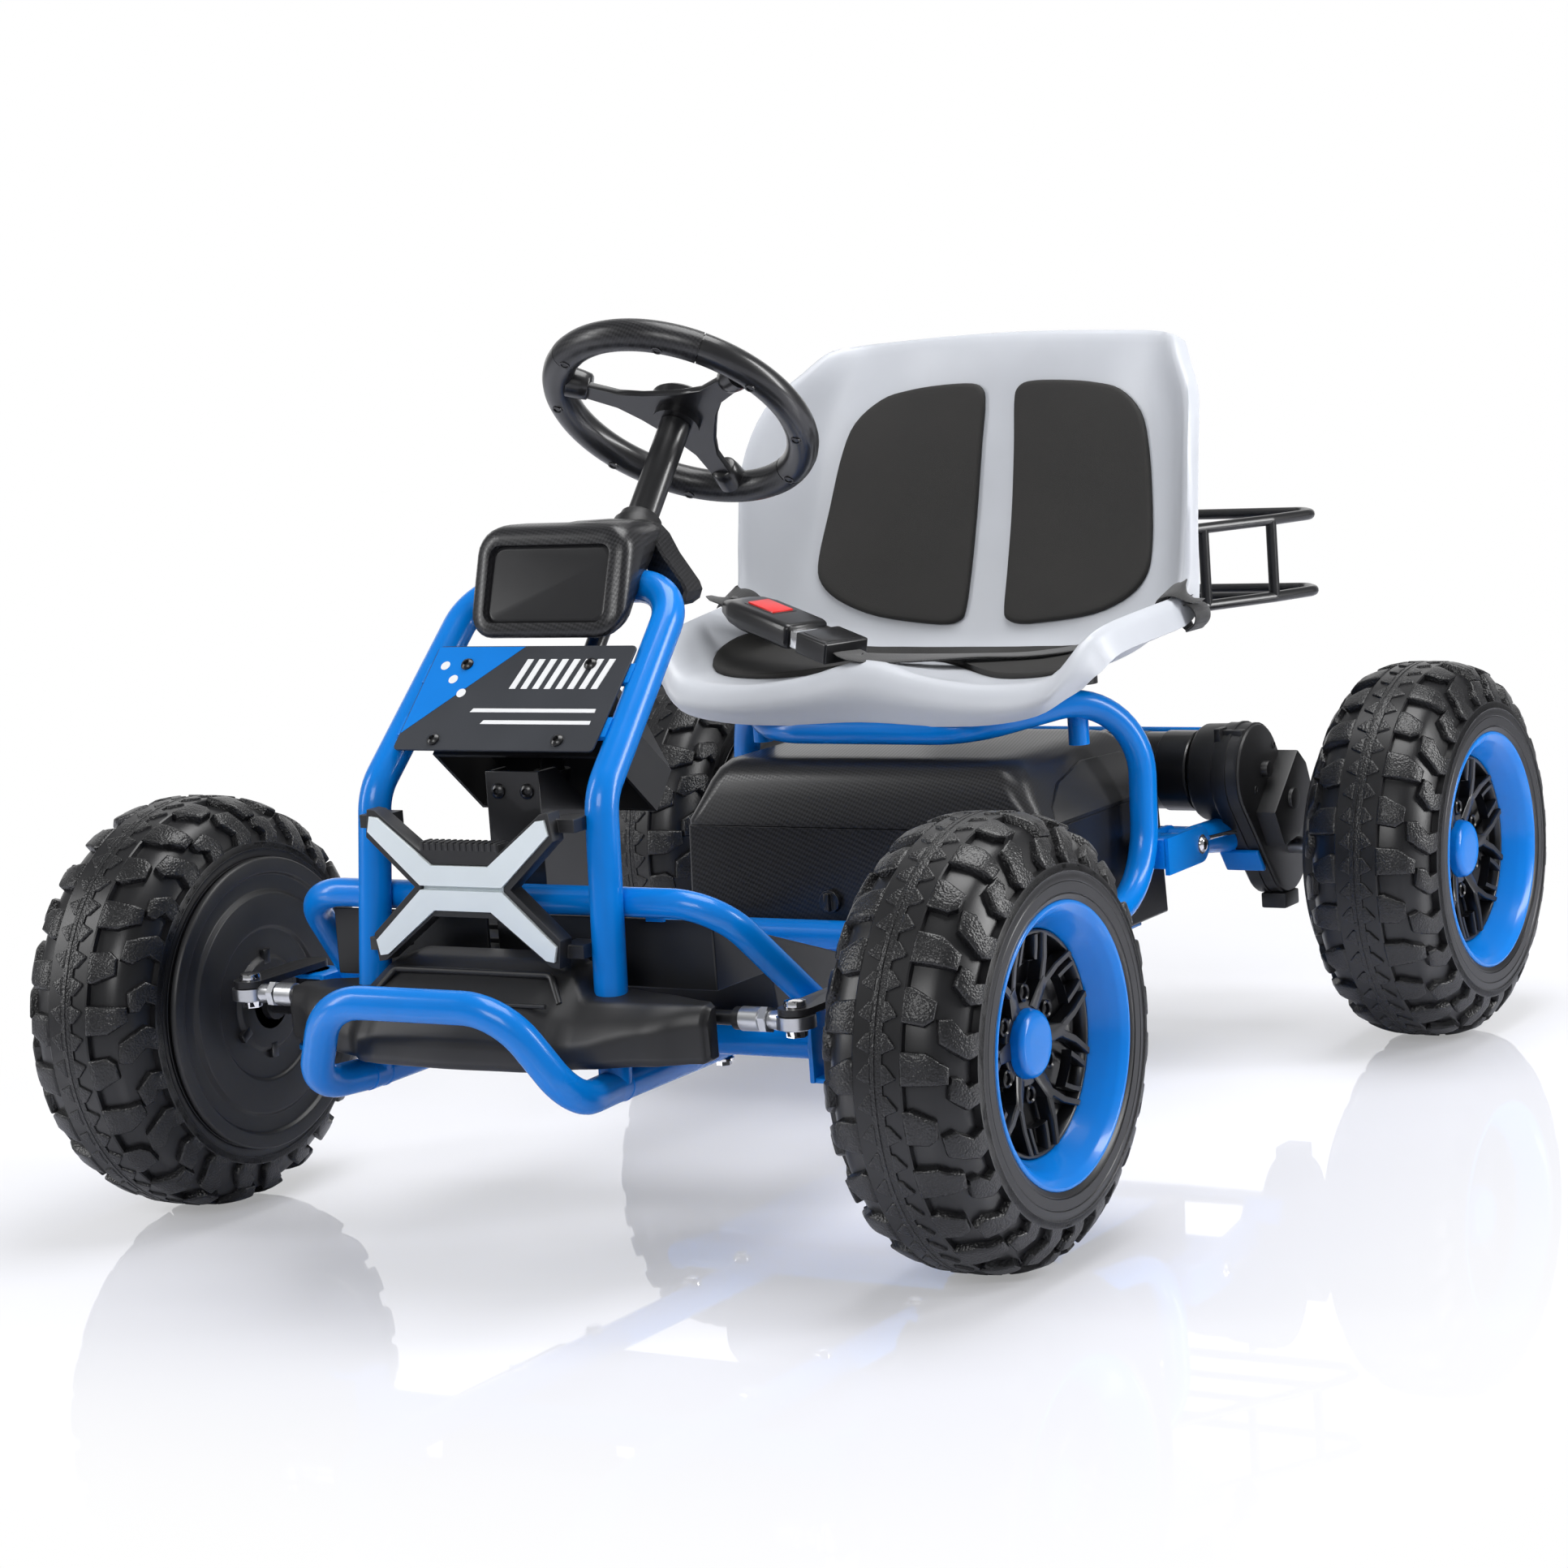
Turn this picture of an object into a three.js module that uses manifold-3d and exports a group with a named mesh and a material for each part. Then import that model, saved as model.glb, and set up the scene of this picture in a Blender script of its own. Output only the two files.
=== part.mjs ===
// Off road go kart for a child, with two electric gear motors at the back.
// Millimetres. +X is the kart's left side, the front faces -Y and +Z is up.
// Inside the group, y is counted from the front axle; the group then moves the kart's middle to y = 0.
import * as THREE from 'three';
import { mergeVertices } from 'three/addons/utils/BufferGeometryUtils.js';
import Module from 'manifold-3d';

const wasm = await Module();
wasm.setup();

// Driving dimensions of the whole kart
const wheelbase = 805;
const frontHalfTrack = 361;
const rearHalfTrack = 368;
const tyre = { radius: 165, halfWidth: 64 };
const tubeRadius = 12.5;
const gap = 0.3;
const sides = 10;
const turn = 2 * Math.PI;
const bendStep = Math.PI / 8;

// Steering: the column leans back, the lower shaft, the kingpins and the arms form a parallelogram
const steer = { hubY: 214, hubZ: 609, kneeZ: 360, armReach: 76, kingpinX: 247, rodZ: 191 };
// The number plate, the lamp and the covers hang on the front hoop
const hoop = {
  footY: -106, kneeX: 102, kneeY: -87, kneeZ: 353, shoulderX: 93, shoulderY: 53, shoulderZ: 489, bend: 40,
};
const rail = { halfX: 108.5, frontY: -113, z: 143 };
const beam = { radius: 12, z: 157 };
const footwellHalf = 172;
const tray = { frontY: 430, tubeZ: 146, halfWidth: 184, sheetZ: 124, rearY: 640, sheet: 3 };
const box = {
  frontY: 447, rearY: 668, baseZ: 128, seamZ: 236, topZ: 293, bottomHalfX: 178, topHalfX: 150, wall: 4,
};
const arch = {
  halfX: 199, backY: 595, footY: 584, footZ: 161, frontX: 98, frontY: 470, frontZ: 317, topZ: 341, radius: 12, bend: 70,
};
const pivot = { x: 200, y: 661, z: 190, bolt: 5, ear: 4, halfGap: 13, eye: 16 };
const motor = { y: 740, z: 242, radius: 34.5, innerX: 84, cap: 14 };
const gearbox = {
  innerX: 183, faceX: 236, coverX: 256, upperRadius: 47, lowerRadius: 40, boss: 17, wall: 4,
};
const seat = { shell: 6 };
const axle = { radius: 8, nutRadius: 13, nut: 6 };

const kart = new THREE.Group();

const colours = {
  blue: ['#0a6fe0', 0.3, 0.1],
  black: ['#17181a', 0.55, 0],
  rubber: ['#1b1b1c', 0.8, 0],
  steel: ['#c9ccd0', 0.25, 1],
  darkSteel: ['#232427', 0.45, 0.6],
  shell: ['#aab4ba', 0.5, 0],
  foam: ['#151515', 0.95, 0],
  lamp: ['#dfeaf0', 0.35, 0],
  webbing: ['#121214', 0.85, 0],
  red: ['#e0141a', 0.35, 0],
};

// A material of the kart, by its name in the list above
function finish(name) {
  const [color, roughness, metalness] = colours[name];
  return new THREE.MeshStandardMaterial({ color, roughness, metalness, flatShading: true });
}

// Adds one named piece to a group
function add(name, geometry, finishName, group = kart) {
  const mesh = new THREE.Mesh(closed(geometry), finish(finishName));
  mesh.name = name;
  group.add(mesh);
  return mesh;
}

function vec(x, y, z) {
  return new THREE.Vector3(x, y, z);
}

// Signed volume of an indexed geometry
function volume(geometry) {
  const p = geometry.attributes.position;
  const [a, b, c] = [vec(), vec(), vec()];
  let sum = 0;
  for (let i = 0; i < geometry.index.count; i += 3) {
    a.fromBufferAttribute(p, geometry.index.getX(i));
    b.fromBufferAttribute(p, geometry.index.getX(i + 1));
    c.fromBufferAttribute(p, geometry.index.getX(i + 2));
    sum += a.dot(b.cross(c));
  }
  return sum;
}

// Merges shared vertices, drops flat triangles and turns the faces outwards
function closed(geometry) {
  const bare = geometry.clone();
  for (const attribute of ['normal', 'uv']) bare.deleteAttribute(attribute);
  const merged = mergeVertices(bare, 1e-4);
  const index = merged.index.array;
  const kept = [];
  for (let i = 0; i < index.length; i += 3) {
    const [a, b, c] = [index[i], index[i + 1], index[i + 2]];
    if (a !== b && b !== c && c !== a) kept.push(a, b, c);
  }
  merged.setIndex(kept);
  if (volume(merged) < 0) {
    for (let i = 0; i < kept.length; i += 3) [kept[i], kept[i + 1]] = [kept[i + 1], kept[i]];
    merged.setIndex(kept);
  }
  return merged;
}

function toSolid(geometry) {
  const shape = closed(geometry);
  return new wasm.Manifold(new wasm.Mesh({
    numProp: 3,
    vertProperties: new Float32Array(shape.attributes.position.array),
    triVerts: new Uint32Array(shape.index.array),
  }));
}

function toGeometry(solid) {
  const mesh = solid.getMesh();
  const geometry = new THREE.BufferGeometry();
  geometry.setAttribute('position', new THREE.BufferAttribute(mesh.vertProperties, 3));
  geometry.setIndex(new THREE.BufferAttribute(mesh.triVerts, 1));
  return geometry;
}

function join(...pieces) {
  return toGeometry(pieces.map(toSolid).reduce((whole, piece) => whole.add(piece)));
}

function cut(piece, ...cutters) {
  return toGeometry(cutters.map(toSolid).reduce((left, cutter) => left.subtract(cutter), toSolid(piece)));
}

// A path of straight runs joined by round bends, sampled only where it turns
class BentPath extends THREE.Curve {
  constructor(points, bend) {
    super();
    this.samples = [points[0]];
    this.tangents = [points[1].clone().sub(points[0]).normalize()];
    for (let i = 1; i < points.length - 1; i++) this.addBend(points[i - 1], points[i], points[i + 1], bend);
    this.samples.push(points.at(-1));
    this.tangents.push(points.at(-1).clone().sub(points.at(-2)).normalize());
  }

  addBend(before, corner, after, bend) {
    const into = corner.clone().sub(before);
    const out = after.clone().sub(corner);
    const angle = into.angleTo(out);
    const reach = Math.min(bend * Math.tan(angle / 2), into.length() * 0.49, out.length() * 0.49);
    const count = Math.max(1, Math.ceil(angle / bendStep));
    into.normalize();
    out.normalize();
    const start = corner.clone().addScaledVector(into, -reach);
    const end = corner.clone().addScaledVector(out, reach);
    const inward = end.clone().sub(start).normalize();
    const radius = reach / Math.tan(angle / 2);
    const centreWay = out.clone().sub(into).normalize();
    const centre = corner.clone().addScaledVector(centreWay, Math.hypot(radius, reach));
    for (let k = 0; k <= count; k++) {
      const swing = angle * (k / count - 0.5);
      const sample = centre.clone().addScaledVector(centreWay, -radius * Math.cos(swing));
      this.samples.push(sample.addScaledVector(inward, radius * Math.sin(swing)));
      const tangent = inward.clone().multiplyScalar(Math.cos(swing));
      this.tangents.push(tangent.addScaledVector(centreWay, Math.sin(swing)).normalize());
    }
  }

  place(t, list) {
    const at = t * (list.length - 1);
    const i = Math.min(Math.round(at), list.length - 1);
    return list[i].clone();
  }

  getPoint(t) {
    return this.place(t, this.samples);
  }

  getTangent(t) {
    return this.place(t, this.tangents);
  }

  getUtoTmapping(u) {
    return u;
  }
}

function roundShape(radius, count = sides, turned = 0) {
  const corners = [];
  for (let i = 0; i < count; i++) {
    const angle = turned + turn * i / count;
    corners.push(new THREE.Vector2(radius * Math.cos(angle), radius * Math.sin(angle)));
  }
  return new THREE.Shape(corners);
}

// A solid bar of round section along straight runs and bends
function tube(points, radius = tubeRadius, bend = 0, count = sides) {
  const path = new BentPath(points, Math.max(bend, radius));
  const steps = path.samples.length - 1;
  return new THREE.ExtrudeGeometry(roundShape(radius, count), { steps, bevelEnabled: false, extrudePath: path });
}

// The same path mirrored to the other side
function mirrored(points) {
  return points.map((p) => vec(-p.x, p.y, p.z)).reverse();
}

function bothSides(points) {
  return [...mirrored(points), ...points];
}

// A copy of a geometry mirrored across the kart's middle plane
function mirrorX(geometry) {
  const copy = closed(geometry);
  copy.scale(-1, 1, 1);
  return closed(copy);
}

// A turned ring or disc round the X axis, from a profile of [along, radius] pairs
function turned(profile, segments) {
  const points = profile.map(([along, radius]) => new THREE.Vector2(radius, along));
  return new THREE.LatheGeometry(points, segments).rotateZ(-Math.PI / 2);
}

// A plate: an outline in a plane, made thick on both sides of that plane
function plate(outline, thickness, options = {}) {
  const shape = outline instanceof THREE.Shape ? outline : new THREE.Shape(outline.map(([x, y]) => new THREE.Vector2(x, y)));
  const geometry = new THREE.ExtrudeGeometry(shape, { depth: thickness, bevelEnabled: false, curveSegments: 3, ...options });
  return geometry.translate(0, 0, -thickness / 2);
}

// A block with its corners rounded in plan
function block(width, depth, height, corner = 0) {
  if (!corner) return new THREE.BoxGeometry(width, depth, height);
  const shape = new THREE.Shape();
  const [w, d] = [width / 2, depth / 2];
  shape.moveTo(-w + corner, -d);
  shape.lineTo(w - corner, -d);
  shape.quadraticCurveTo(w, -d, w, -d + corner);
  shape.lineTo(w, d - corner);
  shape.quadraticCurveTo(w, d, w - corner, d);
  shape.lineTo(-w + corner, d);
  shape.quadraticCurveTo(-w, d, -w, d - corner);
  shape.lineTo(-w, -d + corner);
  shape.quadraticCurveTo(-w, -d, -w + corner, -d);
  return plate(shape, height);
}

// A flat-sided hull through two outlines that have the same number of corners
function loft(sections) {
  const count = sections[0].length;
  const positions = sections.flat().flatMap((p) => [p.x, p.y, p.z]);
  const index = [];
  for (let s = 0; s < sections.length - 1; s++) {
    for (let i = 0; i < count; i++) {
      const [a, b] = [s * count + i, s * count + (i + 1) % count];
      index.push(a, b, b + count, a, b + count, a + count);
    }
  }
  const caps = THREE.ShapeUtils.triangulateShape(flatten(sections[0]), []);
  const last = (sections.length - 1) * count;
  for (const [a, b, c] of caps) {
    index.push(c, b, a, last + a, last + b, last + c);
  }
  const geometry = new THREE.BufferGeometry();
  geometry.setAttribute('position', new THREE.Float32BufferAttribute(positions, 3));
  geometry.setIndex(index);
  return closed(geometry);
}

// The corners of a flat outline, seen along its own normal
function flatten(section) {
  const along = section[1].clone().sub(section[0]).normalize();
  const normal = vec(0, 0, 0);
  for (let i = 0; i < section.length; i++) {
    normal.add(section[i].clone().cross(section[(i + 1) % section.length]));
  }
  normal.normalize();
  const up = normal.cross(along);
  return section.map((p) => new THREE.Vector2(p.dot(along), p.dot(up)));
}

// Turns a geometry's own Z axis to a direction and moves it to a place
function aim(geometry, direction, place) {
  geometry.applyQuaternion(new THREE.Quaternion().setFromUnitVectors(vec(0, 0, 1), direction.clone().normalize()));
  return geometry.translate(place.x, place.y, place.z);
}

function cylinder(radius, from, to, count = sides) {
  const length = from.distanceTo(to);
  const round = plate(roundShape(radius, count), length);
  return aim(round, to.clone().sub(from), from.clone().add(to).multiplyScalar(0.5));
}

// The polygon radius whose flats clear a round pin by the running gap
function boreRadius(pinRadius, count) {
  return (pinRadius + gap) / Math.cos(Math.PI / count);
}

// A hull round several round pieces
function hull(...pieces) {
  return toGeometry(wasm.Manifold.hull(pieces.map(toSolid)));
}

// A round bar along X
function crossBar(radius, fromX, toX, y, z, count = sides) {
  return cylinder(radius, vec(fromX, y, z), vec(toX, y, z), count);
}

// Front bumper: the lower rails' tube looped forwards and up across the front
const bumper = { lowX: 112, lowY: -168, lowZ: 147, highX: 73, highY: -198, highZ: 217, bend: 32 };
const bumperHalf = [
  vec(bumper.highX, bumper.highY, bumper.highZ),
  vec(bumper.lowX, bumper.lowY, bumper.lowZ),
  vec(rail.halfX, rail.frontY, rail.z),
];
const bumperTube = (extra) => tube(bothSides(bumperHalf), tubeRadius + extra, bumper.bend);

// The lower rails run back to the cross tube of the battery tray, with bolts under them
const trayTube = [vec(-arch.halfX, tray.frontY, tray.tubeZ), vec(arch.halfX, tray.frontY, tray.tubeZ)];
const railRun = [vec(rail.halfX, rail.frontY - tubeRadius / 2, rail.z), vec(rail.halfX, tray.frontY, tray.tubeZ)];
const bolt = { headRadius: 7, headHeight: 4, shankRadius: 3, seatDrop: 9, railYs: [40, 150, 300, 380] };

// Front axle beam: a cross tube on the rails with a bracket for each kingpin
const lug = { thickness: 4, halfDepth: 30, lowZ: 131, highZ: 190, back: 27, front: 15 };
const kingpin = { radius: 6, sleeve: 13 };
const spindleZ = tyre.radius;
const steeringArm = { z: steer.rodZ + 5 + gap, thickness: 5, halfWidth: 13, boltRadius: 5, head: 8, headHeight: 5 };
{
  const webX = steer.kingpinX - lug.back;
  const pieces = [tube([vec(-webX, 0, beam.z), vec(webX, 0, beam.z)], beam.radius)];
  for (const side of [-1, 1]) {
    const x = side * (webX + lug.thickness / 2);
    const web = block(lug.thickness, 2 * lug.halfDepth, lug.highZ + lug.thickness - lug.lowZ);
    pieces.push(web.translate(x, 0, (lug.lowZ + lug.highZ + lug.thickness) / 2));
    for (const z of [lug.lowZ, lug.highZ]) {
      const shelf = block(lug.back + lug.front, 2 * lug.halfDepth, lug.thickness);
      pieces.push(shelf.translate(side * (steer.kingpinX - (lug.back - lug.front) / 2), 0, z + lug.thickness / 2));
    }
  }
  const bores = [-1, 1].map((side) => cylinder(
    boreRadius(kingpin.radius, sides),
    vec(side * steer.kingpinX, 0, lug.lowZ - lug.thickness),
    vec(side * steer.kingpinX, 0, lug.highZ + 2 * lug.thickness),
  ));
  const rails = [tube(railRun, tubeRadius + gap), tube(mirrored(railRun), tubeRadius + gap)];
  add('front_axle_beam', cut(join(...pieces), ...bores, ...rails), 'blue');
}

// Front hoop: two legs up from the rails, leaning back and joined under the dash
const hoopHalf = [
  vec(hoop.shoulderX, hoop.shoulderY, hoop.shoulderZ),
  vec(hoop.kneeX, hoop.kneeY, hoop.kneeZ),
  vec(rail.halfX, hoop.footY, rail.z),
];
const hoopTube = (extra) => tube(bothSides(hoopHalf), tubeRadius + extra, hoop.bend);
{
  const rails = [tube(railRun, tubeRadius + gap), tube(mirrored(railRun), tubeRadius + gap)];
  add('front_hoop', cut(hoopTube(0), ...rails, bumperTube(gap)), 'blue');
}

// Brush guard: a bow over the front of the footwell that comes down on the axle beam
const guard = {
  cornerX: footwellHalf + 14, cornerY: -76, cornerZ: 273, footX: footwellHalf + 41, footY: 25, footZ: 172, bend: 46, radius: 11,
  tabX: 127, tabHalf: 11,
};
{
  const half = [
    vec(guard.cornerX, guard.cornerY, guard.cornerZ),
    vec(guard.footX, guard.footY, guard.footZ),
  ];
  const bow = tube(bothSides(half), guard.radius, guard.bend);
  const seat = tube([vec(-steer.kingpinX, 0, beam.z), vec(steer.kingpinX, 0, beam.z)], beam.radius + gap);
  const web = block(lug.back, 2 * steer.kingpinX, 2 * steer.kingpinX);
  const webs = [-1, 1].map((side) => web.clone().translate(side * (steer.kingpinX - lug.back / 2 - gap), 0, 0));
  const tabs = [-1, 1].map((side) => block(2 * guard.tabHalf, guard.radius, lug.thickness)
    .translate(side * guard.tabX, guard.cornerY + guard.radius * 0.6, guard.cornerZ - guard.radius * 0.7));
  add('brush_guard', cut(join(bow, ...tabs), seat, ...webs, hoopTube(gap)), 'blue');
}

// Pivot bracket behind the arch: two ears and a bolt for the swing arm on that side
function pivotBracket(side) {
  const outerX = pivot.halfGap + pivot.ear;
  const x = side * pivot.x;
  const rootY = arch.backY + pivot.halfGap;
  const ears = [-1, 1].map((ear) => hull(
    crossBar(pivot.eye, x + ear * pivot.halfGap, x + ear * outerX, pivot.y, pivot.z),
    block(pivot.ear, pivot.ear, 2 * pivot.eye).translate(x + ear * (pivot.halfGap + outerX) / 2, rootY, pivot.z),
  ));
  return join(
    block(2 * outerX, 2 * pivot.halfGap, 2 * pivot.eye).translate(x, arch.backY + pivot.halfGap / 2, pivot.z),
    ...ears,
    crossBar(pivot.bolt, x - outerX - pivot.bolt, x + outerX + pivot.bolt, pivot.y, pivot.z),
    crossBar(2 * pivot.bolt, x - outerX - pivot.bolt, x - outerX, pivot.y, pivot.z, 6),
    crossBar(2 * pivot.bolt, x + outerX, x + outerX + pivot.bolt, pivot.y, pivot.z, 6),
  );
}

// The seat's feet stand on the arch: x, y and the heights they span
const seatFeet = [[60, arch.frontY, arch.frontZ, 342], [165, 553, 333, 356]];

// Seat arch: up behind the battery box on both sides and forwards under the seat
const archHalf = [
  vec(arch.frontX, arch.frontY, arch.frontZ),
  vec(arch.halfX, arch.backY, arch.topZ),
  vec(arch.halfX, arch.footY, arch.footZ),
  vec(arch.halfX, tray.frontY - tubeRadius, tray.tubeZ),
];
const archTube = (extra) => tube(bothSides(archHalf), arch.radius + extra, arch.bend);
const strut = { x: 158, y: 556, halfWidth: 9 };
{
  const struts = [-1, 1].map((side) => cylinder(
    strut.halfWidth,
    vec(side * strut.x, strut.y, box.topZ + gap),
    vec(side * strut.x, strut.y, arch.frontZ + arch.radius),
  ));
  const studs = [-1, 1].map((side) => {
    const at = (dz) => vec(side * seatFeet[0][0], arch.frontY, arch.frontZ - dz);
    return join(
      cylinder(bolt.headRadius, at(arch.radius + bolt.headHeight), at(0), 6),
      cylinder(bolt.shankRadius, at(arch.radius + bolt.seatDrop), at(0), 6),
    );
  });
  add('seat_arch', join(archTube(0), ...struts, ...studs, ...[-1, 1].map(pivotBracket)), 'blue');
}

// Lower frame: the bumper, the rails, the cross tube and the sheet under the battery box
{
  const sheet = block(2 * tray.halfWidth, tray.rearY - tray.frontY, tray.sheet)
    .translate(0, (tray.frontY + tray.rearY) / 2, tray.sheetZ);
  const lip = block(2 * tray.halfWidth, tray.sheet, tray.tubeZ - tray.sheetZ)
    .translate(0, tray.frontY + tray.sheet / 2, (tray.tubeZ + tray.sheetZ - tray.sheet) / 2);
  const heads = [-1, 1].flatMap((side) => bolt.railYs.map((y) => cylinder(
    bolt.headRadius, vec(side * rail.halfX, y, rail.z - tubeRadius - bolt.headHeight), vec(side * rail.halfX, y, rail.z), 8,
  )));
  const frame = join(bumperTube(0), tube(railRun), tube(mirrored(railRun)), tube(trayTube), lip, sheet, ...heads);
  add('lower_frame', cut(frame, archTube(gap)), 'blue');
}

// Wheels: tyre, dished rim, spoked disc with its inner cover, and hub cap. Local +X points outwards.
const rim = { radius: 100, lip: 58, lipWidth: 3, discRadius: 82, dish: 37, inner: -52, barrel: 5 };
const disc = {
  thickness: 7, hubX: 27, hubRadius: 25, spokes: 6, windowShare: 0.3, windowInner: 38, windowOuter: 72,
  coverRadius: 117, coverX: -70,
};
const cap = { radius: 23.7, faceX: 37.5, wall: 3, bevel: 3 };
const segments = 20;
const stubSides = 16;

// Tread places as shares of the tyre's half width, along it and down from its crown: the edge of the middle rib,
// the blocks beside it, the shoulder lugs that take turns with them, and the side wall
const ribShare = [0.28, 0];
const blockShares = [[0.38, 0.02], [0.82, 0.29]];
const lugShares = [[0.87, 0.37], [0.95, 0.56]];
const wallShare = [1, 0.86];
const tread = { lugs: 18, depth: 5 };

// A place of the tread's top, and the foot under it, as [along, radius]
function treadTop([along, drop]) {
  return [tyre.halfWidth * along, tyre.radius - tyre.halfWidth * drop];
}
function treadFoot(share) {
  const [along, radius] = treadTop(share);
  const middle = treadTop(wallShare)[1];
  const kept = 1 - tread.depth / Math.hypot(along, radius - middle);
  return [along * kept, middle + (radius - middle) * kept];
}

// The blocks and the shoulder lugs of one flank: the profile where they stand and where they don't
function treadRows() {
  const [blockStart, blockEnd] = blockShares.map(treadTop);
  const [blockFoot, blockEndFoot] = blockShares.map(treadFoot);
  const [lugStart, lugMiddle] = lugShares.map(treadTop);
  const lugFoot = treadFoot(lugShares[0]);
  const wallTop = treadTop(wallShare);
  const blocks = {
    high: [blockFoot, blockStart, blockEnd, blockEndFoot],
    low: [blockFoot, blockEndFoot],
    side: [[blockStart, blockEnd, blockEndFoot], [blockStart, blockEndFoot, blockFoot]],
  };
  const lugs = {
    high: [lugFoot, lugStart, lugMiddle, wallTop],
    low: [lugFoot, wallTop],
    side: [[lugMiddle, wallTop, lugFoot], [lugMiddle, lugFoot, lugStart]],
  };
  return { blocks, lugs };
}

// The tyre is built sector by sector: blocks stand on one flank where lugs stand on the other
function tyreShape() {
  const { blocks, lugs } = treadRows();
  const mirror = ([along, radius]) => [-along, radius];
  const flank = (withBlocks) => [
    treadTop(ribShare), ...(withBlocks ? blocks.high : blocks.low), ...(withBlocks ? lugs.low : lugs.high),
  ];
  const sectors = 2 * tread.lugs;
  const seatRadius = boreRadius(rim.radius, sectors);
  const seatPoints = [[rim.lip - rim.lipWidth, seatRadius], [gap - tyre.halfWidth, seatRadius]];
  const positions = [];
  const spot = ([along, radius], k) => {
    const angle = turn * k / sectors;
    return [along, radius * Math.cos(angle), radius * Math.sin(angle)];
  };
  for (let k = 0; k < sectors; k++) {
    const outerBlocks = k % 2 === 0;
    const profile = [...flank(!outerBlocks).map(mirror).reverse(), ...flank(outerBlocks), ...seatPoints];
    profile.forEach((p, i) => {
      const q = profile[(i + 1) % profile.length];
      positions.push(...spot(p, k), ...spot(q, k), ...spot(q, k + 1), ...spot(p, k), ...spot(q, k + 1), ...spot(p, k + 1));
    });
    for (const [part, startsOutside] of [[blocks, outerBlocks], [lugs, !outerBlocks]]) {
      for (const [a, b, c] of part.side) {
        const outer = startsOutside ? [a, c, b] : [a, b, c];
        const inner = (startsOutside ? [a, c, b] : [a, b, c]).map(mirror);
        positions.push(...outer.flatMap((p) => spot(p, k)), ...inner.flatMap((p) => spot(p, k)));
      }
    }
  }
  const geometry = new THREE.BufferGeometry();
  geometry.setAttribute('position', new THREE.Float32BufferAttribute(positions, 3));
  geometry.setIndex([...Array(positions.length / 3).keys()]);
  return geometry;
}

function rimShape() {
  const inside = rim.radius - rim.barrel;
  const profile = [
    [rim.inner, rim.radius], [rim.lip, rim.radius], [rim.lip + rim.lipWidth, inside + rim.lipWidth],
    [rim.dish, rim.discRadius], [rim.dish - disc.thickness, rim.discRadius],
    [rim.dish - disc.thickness, inside], [rim.inner, inside], [rim.inner, rim.radius],
  ];
  return turned(profile, segments);
}

function discShape() {
  const backX = rim.dish - disc.thickness;
  const bore = boreRadius(axle.radius, stubSides);
  const face = turned([
    [disc.hubX - disc.thickness, bore], [disc.hubX, bore], [disc.hubX, disc.hubRadius],
    [rim.dish, rim.discRadius - gap], [backX, rim.discRadius - gap],
    [disc.hubX - disc.thickness, disc.hubRadius], [disc.hubX - disc.thickness, bore],
  ], segments);
  const hub = turned([
    [disc.coverX, bore], [disc.hubX - disc.thickness / 2, bore],
    [disc.hubX - disc.thickness / 2, disc.hubRadius - cap.wall], [disc.coverX, disc.hubRadius - cap.wall],
    [disc.coverX, bore],
  ], segments);
  const cover = turned([
    [disc.coverX, bore], [disc.coverX, disc.coverRadius], [-tyre.halfWidth - gap, disc.coverRadius],
    [-tyre.halfWidth - gap, bore], [disc.coverX, bore],
  ], segments);
  const windows = [];
  for (let i = 0; i < disc.spokes; i++) {
    const middle = turn * (i + 0.5) / disc.spokes;
    const spread = turn / disc.spokes * disc.windowShare;
    const corner = (radius, angle) => [radius * Math.cos(angle), radius * Math.sin(angle)];
    const outline = [
      corner(disc.windowInner, middle - spread * 0.6), corner(disc.windowOuter, middle - spread),
      corner(disc.windowOuter, middle + spread), corner(disc.windowInner, middle + spread * 0.6),
    ];
    windows.push(plate(outline, rim.radius).rotateY(Math.PI / 2).translate(rim.dish, 0, 0));
  }
  return join(cut(face, ...windows), hub, cover);
}

function capShape() {
  const inside = cap.radius - cap.wall;
  return turned([
    [disc.hubX + gap, inside], [cap.faceX - cap.wall, inside], [cap.faceX - cap.wall, 0], [cap.faceX, 0],
    [cap.faceX, cap.radius - cap.bevel], [cap.faceX - cap.bevel, cap.radius], [disc.hubX + gap, cap.radius],
    [disc.hubX + gap, inside],
  ], segments / 2);
}

for (const [end, y, halfTrack] of [['front', 0, frontHalfTrack], ['rear', wheelbase, rearHalfTrack]]) {
  for (const [name, side] of [['left', 1], ['right', -1]]) {
    const wheel = new THREE.Group();
    wheel.position.set(side * halfTrack, y, tyre.radius);
    if (side < 0) wheel.rotation.z = Math.PI;
    add(`${end}_${name}_tyre`, tyreShape(), 'rubber', wheel);
    add(`${end}_${name}_rim`, rimShape(), 'blue', wheel);
    add(`${end}_${name}_wheel_disc`, discShape(), 'black', wheel);
    add(`${end}_${name}_hub_cap`, capShape(), 'blue', wheel);
    kart.add(wheel);
  }
}

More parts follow.
